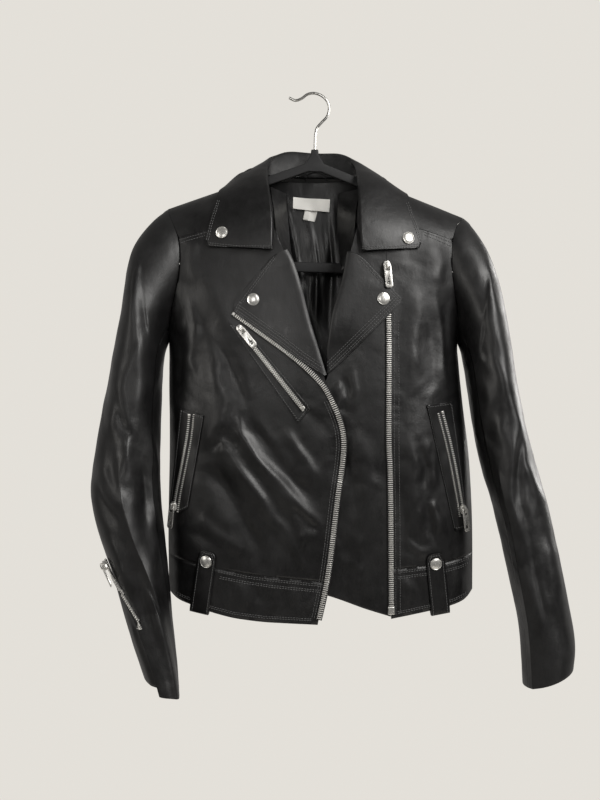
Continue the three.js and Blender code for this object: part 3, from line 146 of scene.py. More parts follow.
SLEEVE_CREASES = {
    ("left", "front"): table("""
7 2.4  -196 -352  -213 -400  -203 -452  -200 -498
5 2.2  -206 -430  -199 -480  -196 -524  -195 -560
5 -2.0  -212 -470  -206 -520  -204 -560
6 2.6  -196 -560  -197 -600  -192 -640  -176 -700
7 -1.9  -210 -580  -206 -630  -190 -690
11 1.8  -206 -196  -222 -240  -228 -300
9 -1.8  -192 -250  -206 -300  -236 -350
11 2.0  -228 -352  -240 -404  -262 -452
7 -1.8  -252 -376  -236 -420  -222 -448
9 2.2  -262 -470  -244 -508  -226 -532
6 -2.0  -270 -500  -250 -528  -230 -548
7 1.3  -250 -560  -236 -590  -224 -622
6 1.1  -216 -668  -206 -690  -192 -706
"""),
    ("left", "back"): table("""
12 2.0  -210 -210  -232 -280  -226 -350
10 2.2  -252 -360  -232 -420  -216 -470
7 -1.9  -240 -380  -220 -436  -208 -470
9 2.2  -268 -470  -240 -520  -212 -560
9 1.8  -240 -590  -216 -640  -200 -700
"""),
    ("right", "front"): table("""
7 2.2  199 -352  212 -398  205 -440  222 -470
6 2.5  246 -424  238 -470  236 -520  254 -580
5 -2.2  252 -440  246 -486  248 -530
6 2.6  238 -500  252 -560  262 -620  272 -690
5 -2.0  250 -540  262 -600  274 -660
11 1.8  202 -208  216 -250  222 -310
9 -1.7  186 -262  204 -312  232 -360
4 1.8  188 -330  200 -338  208 -352
10 2.0  226 -350  238 -400  256 -450
9 2.1  256 -470  270 -506  284 -530
5 -1.6  248 -470  258 -508  268 -530
9 1.7  280 -560  290 -600  298 -640
7 -1.2  282 -640  292 -676  300 -700
"""),
    ("right", "back"): table("""
12 2.0  208 -212  226 -280  224 -350
10 2.1  250 -370  232 -430  222 -470
7 -1.8  240 -400  226 -446  222 -480
9 2.2  262 -480  248 -530  236 -560
9 1.7  280 -600  268 -650  276 -700
"""),
}


# ---- Measures in millimetres, as (x, z) below the hook -----------------------
# Armhole seam: heights below the hook and how far out the seam lies there.
ARMHOLE = {
    "left": ([150, 170, 192, 215, 250, 280, 300, 322], [187, 181, 172, 169, 173, 182, 188, 189]),
    "right": ([150, 170, 195, 215, 250, 280, 300, 322], [189, 183, 174, 171.5, 174, 181, 184.5, 185]),
}
ARMHOLE_REACH = 9
ARMHOLE_DRAW = 1.25  # how far the sleeve's head is drawn in to the seam
# Left cuff, where its opening begins, and of each panel's edge there: a point, its slope, how far the lap
# reaches past it, the depth behind which nothing moves, and the lap itself as (x, y).
CUFF_TOP = -662
CUFF_EDGES = {
    "upper": ((-191.9, -715), 0.367, 4, -70, (-3.4, 0)),
    "under": ((-189, -735), 0.4, 6, -82, (2.6, 1.2)),
}
ZIP_LINES = {
    "main_left": [(-101.5, -289.5), (-44, -331), (-18, -351), (9, -377), (20, -397), (30.5, -421),
                  (36, -446), (34, -475), (28, -513), (21.5, -572), (15, -620), (10, -645), (5, -668)],
    "main_right": [(88, -229), (91, -292), (91, -368), (90.5, -450), (92.7, -478), (93.6, -541),
                   (94.2, -604), (94.7, -660)],
    "chest": [(-94, -309), (-15, -408)],
    "hand_left": [(-154.5, -415), (-157, -438), (-161.5, -463), (-167, -489), (-173, -516),
                  (-176.5, -538)],
    "hand_right": [(156, -412), (167, -450), (176, -490), (185.6, -542)],
}
SEAMS = [
    [(12, -420), (24, -446), (24, -475), (18, -513), (12, -572), (5, -620)],
    [(101, -300), (101, -450), (103, -541), (103.5, -660)],
    [(-178, -600), (-120, -614), (-51, -624), (6, -630)],
    [(104, -614), (137, -611), (200, -602)],
    [(-157, -650), (-102, -664), (-6, -671)],
    [(104, -663), (174, -651), (198, -643)],
    [(-54, -176), (-170, -192)], [(54, -176), (172, -195)],
]
# Rows of teeth of each zip: the side the heads point to, how far beside the zip's line the row lies, and its
# length as a share of one tooth. A second row starts half a step later.
HAND_ROW = 2.7
HAND_ROWS = [(-1, HAND_ROW, 0.7), (1, -HAND_ROW, 0.7)]
TOOTH_ROWS = {
    "main_left": [(-1, 0, 1.35)], "main_right": [(1, 0, 1.35)], "chest": [(1, 1.15, 0.74), (-1, -1.15, 0.74)],
    "hand_left": HAND_ROWS, "hand_right": HAND_ROWS,
}
SLEEVE_TOOTH_LIFT, SLEEVE_TOOTH_LEAN = 0.7, 1.05
# Stops: the zip, how far beside its line, at which end of it, and width, length and height.
STOPS = [
    ("main_left", 0, 0, (5.4, 4.2, 2.2)), ("chest", 0, -1, (5.6, 4.4, 2.2)),
    *((f"hand_{side}", off, 0, (3.6, 3.2, 2.2)) for side in SIDES for off in (HAND_ROW, -HAND_ROW)),
    ("main_right", 0, -1, (8.4, 10.5, 2.6)),
]
STOP_INSET = 1.2
POCKETS = ("chest", "hand_left", "hand_right")
# Topstitching: the lines of each seam, and how far apart its two rows are.
BODY_SEAMS = {
    "right_front": ([[(97.5, -290), (97.8, -450), (99.8, -541), (100.6, -664)],
                     [(103.4, -300), (103.6, -450), (105.4, -541), (106.2, -662)]], 0),
    "hem_left": ([[(-120, -611), (-83, -618), (-51, -621.4), (6, -627.4)],
                  [(-118, -619), (-83, -625), (-51, -629), (4, -634.6)],
                  [(-178, -643), (-157, -648.6), (-131, -656.6), (-102, -663), (-64, -667.3), (-6, -670.3)]], 2.2),
    "hem_right": ([[(104, -611.5), (137, -608.2), (164, -605.4), (200, -598.6)],
                   [(104, -618.5), (137, -615.2), (164, -612.4), (199, -606)],
                   [(104, -662), (140, -655.6), (174, -650.2), (196, -643.6)]], 2.2),
    "yokes": ([[(-170, -195.4), (-136, -187.2)], [(172, -198.6), (136, -186.4)],
               [(-168, -199.4), (-138, -191.6)], [(170, -202.8), (138, -190.6)]], 0),
}
WELT_CORNERS = {
    "chest": [(-106, -303), (-89, -307), (-6, -408), (-20, -425)],
    "hand_left": [(-169, -408), (-139, -416), (-161, -534), (-186, -546)],
    "hand_right": [(139, -403), (172, -399), (195, -560), (177, -562)],
}
# Side, which line is the long edge that carries a ladder of stitches beside it, and the lines.
LAPEL_SEAMS = (
    ("left", 1, [[(-93, -277), (-98, -287)], [(-97, -287.5), (-44, -325.5), (-19.5, -345), (3, -360)],
                 [(-92, -277.5), (-51, -222)]]),
    ("right", 0, [[(18.5, -358), (50, -327), (102.5, -275.5)],
                  [(57, -224), (73, -241.5), (91, -259), (104, -272)]]),
)
COLLAR_SEAMS = [
    [(-131, -203), (-95, -208), (-54, -209)], [(-134, -197), (-130, -178), (-125, -158), (-122, -146)],
    [(127, -204.5), (95, -209), (58, -209.5)], [(130, -198), (125, -178), (120, -162), (117, -148)],
]
HOOK_PATH = [(-33, -4.2), (-25, -7.6), (-17, -5.2), (-9, 0.4), (0, 1.75), (9, -1.4), (16, -8), (19, -17.5),
             (16.5, -28), (9, -36.5), (3.2, -43.5), (1.2, -52), (0.6, -62), (0.4, -71.5)]

# ---- Measures in metres ------------------------------------------------------
TOOTH_WIDTH, TOOTH_HEIGHT, TOOTH_LIFT = 0.0046, 0.0018, 0.0008
THREAD_LIFT = 0.00026
# A snap's cap from its rim inwards: each ring's width as a share of the radius, and its rise.
SNAP_RINGS = ((0.04, 0.00042), (0.05, 0.0001), (0.05, -0.00020), (0.05, 0.00016), (0.14, 0.00038), (0.18, 0.00030),
              (0.2, 0.00016), (0.16, 0.00005))
# Lamps: name, place, what they aim at, size, watts and colour.
LAMPS = (
    ("Window", (1.6, -1.9, 1.0), (0, 0, -0.35), (1.4, 1.8), 68, (1, 0.985, 0.96)),
    ("Front", (-0.42, -2.5, 0.05), (0, 0, -0.4), (0.45, 0.6), 5, (1, 0.98, 0.95)),
    ("Room", (-1.9, -1.5, 0.1), (0, 0, -0.4), (0.5, 1.6), 9, (1, 0.97, 0.92)),
    ("Behind", (2.0, 1.5, 0.2), (0, 0, -0.4), (0.9, 1.4), 21, (1, 0.98, 0.95)),
)
CAMERA_SPOT = (-0.0189, -1.05, -0.397)
CAMERA_SENSOR = 36
CAMERA_LENS = CAMERA_SENSOR * 1050 / 1040


# ---- Settings ----------------------------------------------------------------
def a_colour(name, description, default):
    return FloatVectorProperty(name=name, description=description, default=default, subtype="COLOR", size=3,
                               min=0, max=1)


def a_length(name, description, default, low, high):
    return FloatProperty(name=name, description=description, default=default, min=low, max=high, unit="LENGTH")


class JacketSettings(bpy.types.PropertyGroup):
    """Sizes and colours of the jacket and its hanger."""
    leather: a_colour("Leather", "Colour of the faux leather", (0.0038, 0.0037, 0.0039))
    satin: a_colour("Lining", "Colour of the satin lining", (0.006, 0.006, 0.0065))
    nickel: a_colour("Metal", "Colour of the zips, snaps and hook", (0.72, 0.71, 0.68))
    tape: a_colour("Label", "Colour of the blank neck label", (0.80, 0.79, 0.75))
    grain: a_length("Grain", "Width of one pebble of the leather's grain", 0.0011, 0.0004, 0.004)
    crease: FloatProperty(name="Creases", description="Share of the creases' full height", default=1.0,
                          min=0, max=2)


class SewingSettings(bpy.types.PropertyGroup):
    """Sizes of the stitches, zip teeth, snaps and hook."""
    stitch: a_length("Stitch", "Length of one stitch", 0.0034, 0.001, 0.01)
    thread: a_length("Thread", "Thickness of the sewing thread", 0.00082, 0.0002, 0.002)
    pitch: a_length("Tooth pitch", "Distance from one zip tooth to the next", 0.0026, 0.001, 0.006)
    snap: a_length("Snap", "Diameter of a snap's cap", 0.0155, 0.008, 0.03)
    wire: a_length("Hook wire", "Diameter of the hanger's wire hook", 0.0035, 0.002, 0.008)
    detail: IntProperty(name="Detail", description="Subdivision steps of the leather panels", default=3,
                        min=1, max=3)


def settings():
    return bpy.context.scene.jacket


def sewing():
    return bpy.context.scene.jacket_sewing


# ---- Relief: the creases as a soft field -------------------------------------
def smooth(t):
    t = np.clip(t, 0, 1)
    return t * t * (3 - 2 * t)


def nearest(points, line):
    """For each point its distance to a line, how far along and on which side, and the line's length."""
    p = np.array(line, float)
    lengths = np.hypot(*(p[1:] - p[:-1]).T)
    near, along, side, done = np.full(len(points), 1e9), np.zeros(len(points)), np.zeros(len(points)), 0.0
    for a, b, length in zip(p[:-1], p[1:], lengths):
        d = (b - a) / length
        r = points - a
        t = np.clip(r @ d, 0, length)
        off = np.hypot(r[:, 0] - d[0] * t, r[:, 1] - d[1] * t)
        closer = off < near
        near = np.where(closer, off, near)
        along = np.where(closer, done + t, along)
        side = np.where(closer, np.sign(d[0] * r[:, 1] - d[1] * r[:, 0]), side)
        done += length
    return near, along, side, lengths.sum()


def relief(points, creases):
    """Height in millimetres at each (x, z), in millimetres, of a list of creases."""
    total = np.zeros(len(points))
    for k, (line, width, height) in enumerate(creases):
        near, along, side, whole = nearest(points, line)
        along = along / whole
        w = width * (1 + 0.28 * np.sin(5.3 * along + 1.7 * k) * np.sin(math.pi * along))
        skew = np.where(side > 0, 0.72, 1.25)
        fade = smooth(along / 0.22) * smooth((1 - along) / 0.25)
        body = np.exp(-(near / (w * skew)) ** 2)
        rim = np.exp(-((near - 2.1 * w * skew) / (0.9 * w)) ** 2)
        total += height * (0.12 + 0.88 * fade) * (body - 0.26 * rim)
    return total


def ripple(points):
    """Small slow unevenness, in millimetres, that no hung leather lacks."""
    x, z = points[:, 0], points[:, 1]
    return (0.28 * np.sin(x / 17 + 1.3 * np.sin(z / 41)) * np.sin(z / 29 + 0.8 * np.sin(x / 23))
            + 0.16 * np.sin(x / 8.5 + z / 13 + 1.1 * np.sin(z / 19)) * np.sin(z / 11 - x / 31))


def puckers(points, lines):
    """Small gathers across each seam, where the thread draws the leather in."""
    total = np.zeros(len(points))
    for k, line in enumerate(lines):
        near, along, _, _ = nearest(points, line)
        wave = np.sin(along * (2 * math.pi / 8.2) + 1.9 * np.sin(along / 13 + k)) + 0.5 * np.sin(along / 2.9 + k)
        total += np.exp(-(near / 6.5) ** 2) * (0.24 * wave * (0.6 + 0.4 * np.sin(along / 21 + 2 * k)) - 0.25)
    return total


def under_lapels(x, z):
    """1 where the front is free, 0 under the collar and the lapels."""
    above = smooth((np.abs(x - 3) - 92 - 0.12 * (z + 290)) / 14)
    slant = 0.35 * (x + 100) * (x < 20) + 0.5 * (110 - x) * (x >= 20)
    return np.where(z > -290, above, np.maximum(above, smooth((-300 - z - slant) / 16)))


def front_height(x, z):
    p = np.stack([x, z], 1)
    return (relief(p, FRONT_CREASES) + ripple(p) + puckers(p, SEAMS)) * under_lapels(x, z)


def coordinates(mesh):
    co = np.empty(len(mesh.vertices) * 3)
    mesh.vertices.foreach_get("co", co)
    return co.reshape(-1, 3)


def set_coordinates(mesh, co):
    mesh.vertices.foreach_set("co", np.ascontiguousarray(co, dtype=np.float32).ravel())
    mesh.update()


def sleeve_axis(side):
    """Middle of the sleeve by height: rows of z, x, y in millimetres, from its two solids."""
    co = np.concatenate([coordinates(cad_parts[f"sleeve_{side}_{part}"].data)
                         for part in ("upper", "under")]) / MM
    rows = []
    for z in range(-745, -190, 20):
        near = co[np.abs(co[:, 2] - z) < 16]
        if len(near) > 6:
            low, high = near.min(0), near.max(0)
            rows.append((z, (low[0] + high[0]) / 2, (low[1] + high[1]) / 2))
    return np.array(rows)


AXES = {side: sleeve_axis(side) for side in SIDES}


def sleeve_middle(side, z):
    """x and y of the sleeve's middle at each height."""
    return [np.interp(z, AXES[side][:, 0], AXES[side][:, k]) for k in (1, 2)]


def sleeve_offset(side, co):
    """Offset vectors in millimetres for points on a sleeve, outwards from its middle."""
    x, z = co[:, 0], co[:, 2]
    cx, cy = sleeve_middle(side, z)
    out = np.stack([x - cx, co[:, 1] - cy, np.zeros(len(co))], 1)
    out /= np.maximum(np.linalg.norm(out, axis=1, keepdims=True), 1e-6)
    p = co[:, [0, 2]]
    height = ripple(p)
    for face, sign in (("front", -1), ("back", 1)):
        height += relief(p, SLEEVE_CREASES[side, face]) * smooth((sign * out[:, 1] + 0.25) / 0.7)
    armhole = smooth((-340 - z + 150 * smooth((np.abs(x) - 196) / 30)) / 24)
    cuff = smooth((z + 752) / 20)
    moved = out * (height * (armhole * cuff))[:, None]
    near = smooth((ARMHOLE_REACH - (np.abs(x) - np.interp(-z, *ARMHOLE[side]))) / ARMHOLE_REACH)
    moved[:, 0] -= np.sign(x) * ARMHOLE_DRAW * near * smooth((z + 338) / 12)
    return moved


def lap_cuff(part, co, moved):
    """Laps the two edges of the left cuff's opening, so that no light shows between them."""
    (edge_x, edge_z), slope, reach, front, lap = CUFF_EDGES[part]
    off = co[:, 0] - (edge_x - (co[:, 2] - edge_z) * slope)
    if part == "upper":
        near = smooth((9 - off) / 7) * (off > -reach)
    else:
        near = smooth((off + 9) / 8) * (off < reach)
    near = near * (co[:, 1] < front) * smooth((CUFF_TOP - co[:, 2]) / 14)
    moved[:, 0] += lap[0] * near
    moved[:, 1] += lap[1] * near


# ---- Leather pieces ----------------------------------------------------------
def select_none():
    if bpy.context.object and bpy.context.object.mode != "OBJECT":
        bpy.ops.object.mode_set(mode="OBJECT")
    bpy.ops.object.select_all(action="DESELECT")


def pick(piece):
    select_none()
    piece.select_set(True)
    bpy.context.view_layer.objects.active = piece


def into_scene(name, data):
    o = bpy.data.objects.new(name, data)
    bpy.context.scene.collection.objects.link(o)
    return o


@contextmanager
def edited(mesh):
    """The mesh as a bmesh, which is written back when the block ends."""
    bm = bmesh.new()
    bm.from_mesh(mesh)
    yield bm
    bm.to_mesh(mesh)
    bm.free()


def bevel(piece, width, segments, angle=30):
    """A bevel that rounds the edges sharper than an angle in degrees, to be applied later."""
    m = piece.modifiers.new("Edges", "BEVEL")
    m.width, m.segments, m.limit_method, m.angle_limit = width, segments, "ANGLE", math.radians(angle)


def apply_modifiers(piece):
    pick(piece)
    for m in list(piece.modifiers):
        bpy.ops.object.modifier_apply(modifier=m.name)


def copy_of(node, name):
    """A merged copy of a node's mesh, as a new object at the origin."""
    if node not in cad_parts:
        raise RuntimeError(f"{name}: there is no {node} to start from")
    piece = into_scene(name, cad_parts[node].data.copy())
    with edited(piece.data) as bm:
        bmesh.ops.remove_doubles(bm, verts=bm.verts, dist=0.02 * MM)
        bmesh.ops.join_triangles(bm, faces=bm.faces, angle_face_threshold=math.radians(50),
                                 angle_shape_threshold=math.radians(60))
    return piece


def smooth_sheet(piece, levels, edge_angle=48):
    """Rounds a thin wall and keeps its cut edges."""
    with edited(piece.data) as bm:
        crease = bm.edges.layers.float.get("crease_edge") or bm.edges.layers.float.new("crease_edge")
        corner = bm.verts.layers.float.get("crease_vert") or bm.verts.layers.float.new("crease_vert")
        for e in bm.edges:
            if len(e.link_faces) != 2 or e.calc_face_angle(0) > math.radians(edge_angle):
                e[crease] = 1.0
        for v in bm.verts:
            if sum(1 for e in v.link_edges if e[crease] > 0.5) >= 3:
                v[corner] = 1.0
    m = piece.modifiers.new("Rounding", "SUBSURF")
    m.levels = m.render_levels = levels
    m.boundary_smooth = "PRESERVE_CORNERS"
    apply_modifiers(piece)


PIECES = {}


def finish_piece(piece, key, finish, body="jacket", sharp=45):
    """Colours a piece and hangs it on its body. A key that is a node's name takes that node's place."""
    mesh = piece.data
    mesh.materials.clear()
    mesh.materials.append(finish_of(finish))
    for face in mesh.polygons:
        face.material_index = 0
    pick(piece)
    bpy.ops.object.shade_smooth_by_angle(angle=math.radians(sharp))
    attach(piece, body)
    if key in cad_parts:
        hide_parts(key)
    PIECES[key] = piece


def shape_front(piece):
    co = coordinates(piece.data) / MM
    d = front_height(co[:, 0], co[:, 2]) * settings().crease
    side = smooth((np.abs(co[:, 0]) - 178) / 26)
    depth = 1 - smooth((co[:, 1] + 22) / 20)
    out = np.stack([np.sign(co[:, 0]) * side * 0.8, side * 0.5 - 1, np.zeros(len(co))], 1)
    set_coordinates(piece.data, (co + out * (d * depth)[:, None]) * MM)


def shape_back(piece):
    co = coordinates(piece.data) / MM
    p = co[:, [0, 2]]
    d = (BACK_FULLNESS * relief(p, BACK_CREASES) + ripple(p)) * settings().crease
    d *= smooth((co[:, 1] - 8) / 14) * smooth((-150 - co[:, 2]) / 30)
    set_coordinates(piece.data, (co + np.stack([0 * d, d, 0 * d], 1)) * MM)


def shape_lining(piece):
    co = coordinates(piece.data) / MM
    d = relief(co[:, [0, 2]], LINING_CREASES) * settings().crease
    set_coordinates(piece.data, (co + np.stack([0 * d, -d, 0 * d], 1)) * MM)


# ---- Finishes ----------------------------------------------------------------
class Finish:
    """A fresh material with its shader, and the nodes that feed it, in Object coordinates."""

    def __init__(self, name, colour, roughness, metallic=0.0):
        self.material = bpy.data.materials.new(name)
        self.material.use_nodes = True
        self.tree = self.material.node_tree
        self.shader = self.tree.nodes["Principled BSDF"]
        self.normal = None
        self.set({"Base Color": (*colour, 1), "Roughness": roughness, "Metallic": metallic})

    def set(self, values):
        for key, value in values.items():
            self.shader.inputs[key].default_value = value

    def node(self, kind, **inputs):
        n = self.tree.nodes.new(kind)
        for key, value in inputs.items():
            n.inputs[key].default_value = value
        return n

    def link(self, source, target):
        self.tree.links.new(source, target)

    def feed(self, key, source):
        self.link(source, self.shader.inputs[key])

    def place(self, scale=(1, 1, 1), turn=(0, 0, 0)):
        """Object coordinates in metres, stretched and turned."""
        where = self.node("ShaderNodeTexCoord")
        stretch = self.node("ShaderNodeMapping", Scale=scale, Rotation=turn)
        self.link(where.outputs["Object"], stretch.inputs["Vector"])
        return stretch.outputs["Vector"]

    def noise(self, vector, scale, detail=3.0, roughness=0.5, distortion=0.0):
        n = self.node("ShaderNodeTexNoise", Scale=scale, Detail=detail, Roughness=roughness,
                      Distortion=distortion)
        self.link(vector, n.inputs["Vector"])
        return n.outputs["Fac"]

    def wave(self, scale, distortion, bands="X"):
        n = self.node("ShaderNodeTexWave", Scale=scale, Distortion=distortion)
        n.bands_direction = bands
        self.link(self.place(), n.inputs["Vector"])
        return n.outputs["Fac"]

    def ramp(self, value, low, high, a, b):
        n = self.node("ShaderNodeMapRange", **{"From Min": low, "From Max": high, "To Min": a, "To Max": b})
        self.link(value, n.inputs["Value"])
        return n.outputs["Result"]

    def colours(self, value, a, b):
        """Base colour from a to b as the value goes from 0 to 1."""
        n = self.node("ShaderNodeMix")
        n.data_type = "RGBA"
        n.inputs["A"].default_value, n.inputs["B"].default_value = (*a, 1), (*b, 1)
        self.link(value, n.inputs["Factor"])
        self.feed("Base Color", n.outputs["Result"])

    def bump(self, height, strength, distance):
        """A bump on top of the ones before it."""
        n = self.node("ShaderNodeBump", Strength=strength, Distance=distance)
        self.link(height, n.inputs["Height"])
        if self.normal is not None:
            self.link(self.normal, n.inputs["Normal"])
        self.normal = n.outputs["Normal"]
        self.feed("Normal", self.normal)


def leather_finish(name="Faux leather", soft=1.0, rough=0.40):
    """Semi-gloss coated leather: pebbled grain, fine wrinkles, worn-soft unevenness of its gloss."""
    colour = tuple(settings().leather)
    f = Finish(name, colour, rough)
    flat = f.place()
    broad = f.noise(flat, 16, 2.0, 0.5, 0.4)
    mottle = f.noise(flat, 62, 4.0, 0.6)
    fine = f.noise(f.place((1.0, 1.0, 0.42), (0.0, 0.32, 0.0)), 150, 5.0, 0.62, 0.8)
    pebble = f.node("ShaderNodeTexVoronoi", Scale=1 / settings().grain)
    pebble.feature = "SMOOTH_F1"
    f.link(flat, pebble.inputs["Vector"])
    f.colours(f.ramp(mottle, 0.35, 0.72, 0, 1), colour, tuple(min(1, c * 1.9 + 0.002) for c in colour))
    gloss = f.node("ShaderNodeMath")
    gloss.operation = "MULTIPLY"
    f.link(f.ramp(broad, 0.3, 0.7, rough - 0.07, rough + 0.10), gloss.inputs[0])
    f.link(f.ramp(fine, 0.3, 0.7, 0.90, 1.16), gloss.inputs[1])
    f.feed("Roughness", gloss.outputs["Value"])
    f.bump(broad, 0.34 * soft, 0.010)
    f.bump(mottle, 0.14 * soft, 0.0030)
    f.bump(fine, 0.20, 0.0008)
    f.bump(pebble.outputs["Distance"], 0.16, 0.00030)
    f.set({"Specular IOR Level": 0.5, "Coat Weight": 0.10, "Coat Roughness": 0.28})
    return f.material


def satin_finish():
    """Black satin: a fine diagonal weave with a soft sheen."""
    f = Finish("Satin lining", tuple(settings().satin), 0.34)
    twill = f.wave(420, 0.4, "DIAGONAL")
    soft = f.noise(f.place((1, 1, 0.25)), 70, 3.0, 0.5, 0.5)
    f.feed("Roughness", f.ramp(soft, 0.3, 0.7, 0.27, 0.44))
    f.bump(soft, 0.35, 0.002)
    f.bump(twill, 0.12, 0.0001)
    f.set({"Sheen Weight": 0.15, "Sheen Roughness": 0.4})
    return f.material


def metal_finish(name, rough, worn, metallic=1.0, light=1.0):
    """Plated nickel with fine wear that dulls it unevenly."""
    colour = tuple(min(1, c * light) for c in settings().nickel)
    f = Finish(name, colour, rough, metallic)
    wear = f.noise(f.place(), 420, 4.0, 0.6)
    f.feed("Roughness", f.ramp(wear, 0.3, 0.7, rough - 0.03, rough + 0.06))
    f.colours(f.ramp(wear, 0.45, 0.8, 0, 1), colour, tuple(c * 0.88 for c in colour))
    f.bump(wear, worn, 0.0002)
    return f.material


def tape_finish():
    """Black zip tape: a herringbone of fine threads."""
    f = Finish("Zip tape", (0.012, 0.012, 0.012), 0.75)
    weave = f.wave(900, 1.2)
    f.colours(weave, (0.009, 0.009, 0.009), (0.02, 0.02, 0.02))
    f.bump(weave, 0.3, 0.0002)
    return f.material


def painted_highlight_thread_finish():
    """Black waxed thread whose colour carries a painted highlight: it is set far lighter than the leather so that
    the stitches read as lit.
    """
    # The grey colour is painted highlight; the real thread is as black as the leather.
    f = Finish("Sewing thread", (0.10, 0.10, 0.101), 0.36)
    f.bump(f.noise(f.place(), 2600, 2.0), 0.3, 0.0002)
    return f.material


def label_finish():
    """Blank woven neck label: off-white with a fine rib."""
    colour = tuple(settings().tape)
    f = Finish("Label tape", colour, 0.62)
    rib = f.wave(620, 0.2, "Z")
    f.colours(f.ramp(rib, 0, 1, 0, 0.5), colour, tuple(c * 0.86 for c in colour))
    f.bump(rib, 0.25, 0.0002)
    return f.material


def hanger_finish():
    """Matt black moulded plastic with a soft flocked look."""
    f = Finish("Hanger plastic", (0.012, 0.012, 0.013), 0.62)
    grain = f.noise(f.place(), 900, 4.0, 0.6)
    f.feed("Roughness", f.ramp(grain, 0.3, 0.7, 0.52, 0.74))
    f.bump(grain, 0.2, 0.0003)
    return f.material


def floor_finish():
    """A pale floor with faint clouds."""
    f = Finish("Pale floor", (0.72, 0.70, 0.66), 0.75)
    f.colours(f.noise(f.place(), 6, 4.0), (0.70, 0.68, 0.64), (0.75, 0.73, 0.69))
    return f.material


MAKERS = {
    "leather": leather_finish,
    "strap": lambda: leather_finish("Strap leather", 0.35, 0.36),
    "satin": satin_finish,
    "nickel": lambda: metal_finish("Nickel", 0.28, 0.02, 0.84, 1.12),
    "wire": lambda: metal_finish("Hook wire", 0.22, 0.0),
    "teeth": lambda: metal_finish("Zip teeth", 0.38, 0.03, 0.72, 1.16),
    "tape": tape_finish, "thread": painted_highlight_thread_finish, "label": label_finish, "hanger": hanger_finish,
}
FINISHES = {}


def finish_of(name):
    if name not in FINISHES:
        FINISHES[name] = MAKERS[name]()
    return FINISHES[name]


# ---- Laying small things on the leather --------------------------------------
IN_FRONT = -160  # y of a place in front of the whole jacket, mm


class Ground:
    """The shaped leather, to lay teeth, stitches and snaps on."""

    def __init__(self, keys):
        points, faces = [], []
        for key in keys:
            if key not in PIECES:
                raise RuntimeError(f"{key} has to be made first")
            mesh = PIECES[key].data
            start = len(points)
            points.extend(v.co.copy() for v in mesh.vertices)
            faces.extend(tuple(start + i for i in p.vertices) for p in mesh.polygons)
        self.tree = BVHTree.FromPolygons(points, faces)

    def lay(self, x, z, d):
        """Point, right, along and up where a thing that runs the way of d lies, or None beside the leather."""
        point, up, _, _ = self.tree.ray_cast(Vector((x, IN_FRONT, z)) * MM, Vector((0, 1, 0)))
        if point is None:
            return None
        if up.y > 0:
            up = -up
        along = Vector((d.x, 0, d.y))
        along = (along - up * along.dot(up)).normalized()
        return point, along.cross(up), along, up


def walk(line, step):
    """Points every step along a line of (x, z) in millimetres, each with its direction."""
    p = [Vector(q) for q in line]
    spans = [(b - a).length for a, b in zip(p[:-1], p[1:])]
    count = max(1, round(sum(spans) / step))
    out = []
    for k in range(count + 1):
        s, i = k * sum(spans) / count, 0
        while i < len(spans) - 1 and s > spans[i]:
            s -= spans[i]
            i += 1
        t = min(s / spans[i], 1)
        a, b = p[i], p[i + 1]
        before = (b - a).normalized()
        nearby = (p[i + 2] - b).normalized() if i + 2 < len(p) and t > 0.5 else (
            (a - p[i - 1]).normalized() if i > 0 and t <= 0.5 else before)
        w = abs(t - 0.5)
        out.append((a.lerp(b, t), (before * (1 - w) + nearby * w).normalized()))
    return out


def rounded_path(line, turns=3):
    """The same line with its corners cut smooth."""
    p = [Vector(q) for q in line]
    for _ in range(turns):
        q = [p[0]]
        for a, b in zip(p[:-1], p[1:]):
            q += [a.lerp(b, 0.25), a.lerp(b, 0.75)]
        p = q + [p[-1]]
    return [tuple(q) for q in p]


def beside(line, offset):
    """A line moved sideways, to the left of its run when offset is plus."""
    out = []
    for i, (x, z) in enumerate(line):
        a, b = line[max(0, i - 1)], line[min(len(line) - 1, i + 1)]
        d = Vector((b[0] - a[0], b[1] - a[1])).normalized()
        out.append((x - d.y * offset, z + d.x * offset))
    return out


def many(name, shape_points, shape_faces, places):
    """One mesh of many copies of a small form. A place is (origin, right, along, up), in metres."""
    base = np.array(shape_points, float)
    points, faces = [], []
    for n, (origin, right, along, up) in enumerate(places):
        m = np.array([right, along, up], float)
        points.append(base @ m + np.array(origin, float))
        faces.extend(tuple(i + n * len(base) for i in f) for f in shape_faces)
    mesh = bpy.data.meshes.new(name)
    mesh.from_pydata(np.concatenate(points).tolist() if points else [], [], faces)
    mesh.update()
    return into_scene(name, mesh)


def modelled(name, build):
    """Points and faces of a small form that is made once with Blender's own tools."""
    select_none()
    build()
    o = bpy.context.object
    o.name = name
    apply_modifiers(o)
    select_none()
    points = [tuple(v.co) for v in o.data.vertices]
    faces = [tuple(p.vertices) for p in o.data.polygons]
    bpy.data.objects.remove(o)
    return points, faces


def slice_all(*cuts):
    """Cuts the whole mesh across at each (point, normal), in edit mode."""
    for point, normal in cuts:
        bpy.ops.mesh.select_all(action="SELECT")
        bpy.ops.mesh.bisect(plane_co=point, plane_no=normal)


def stitch_form():
    """One stitch along Y: a short round thread that dips at both ends."""
    def build():
        s = sewing()
        bpy.ops.mesh.primitive_cylinder_add(vertices=6, radius=s.thread / 2, depth=s.stitch * 0.78,
                                            rotation=(math.pi / 2, 0, 0))
        bpy.ops.object.transform_apply(rotation=True)
        bpy.ops.object.mode_set(mode="EDIT")
        slice_all(*(((0, s.stitch * share, 0), (0, 1, 0)) for share in (0.24, -0.24)))
        bpy.ops.object.mode_set(mode="OBJECT")
        for v in bpy.context.object.data.vertices:
            if abs(v.co.y) > s.stitch * 0.3:
                v.co.z = v.co.z * 0.6 - s.thread * 0.35
                v.co.x *= 0.7
    return modelled("Stitch", build)


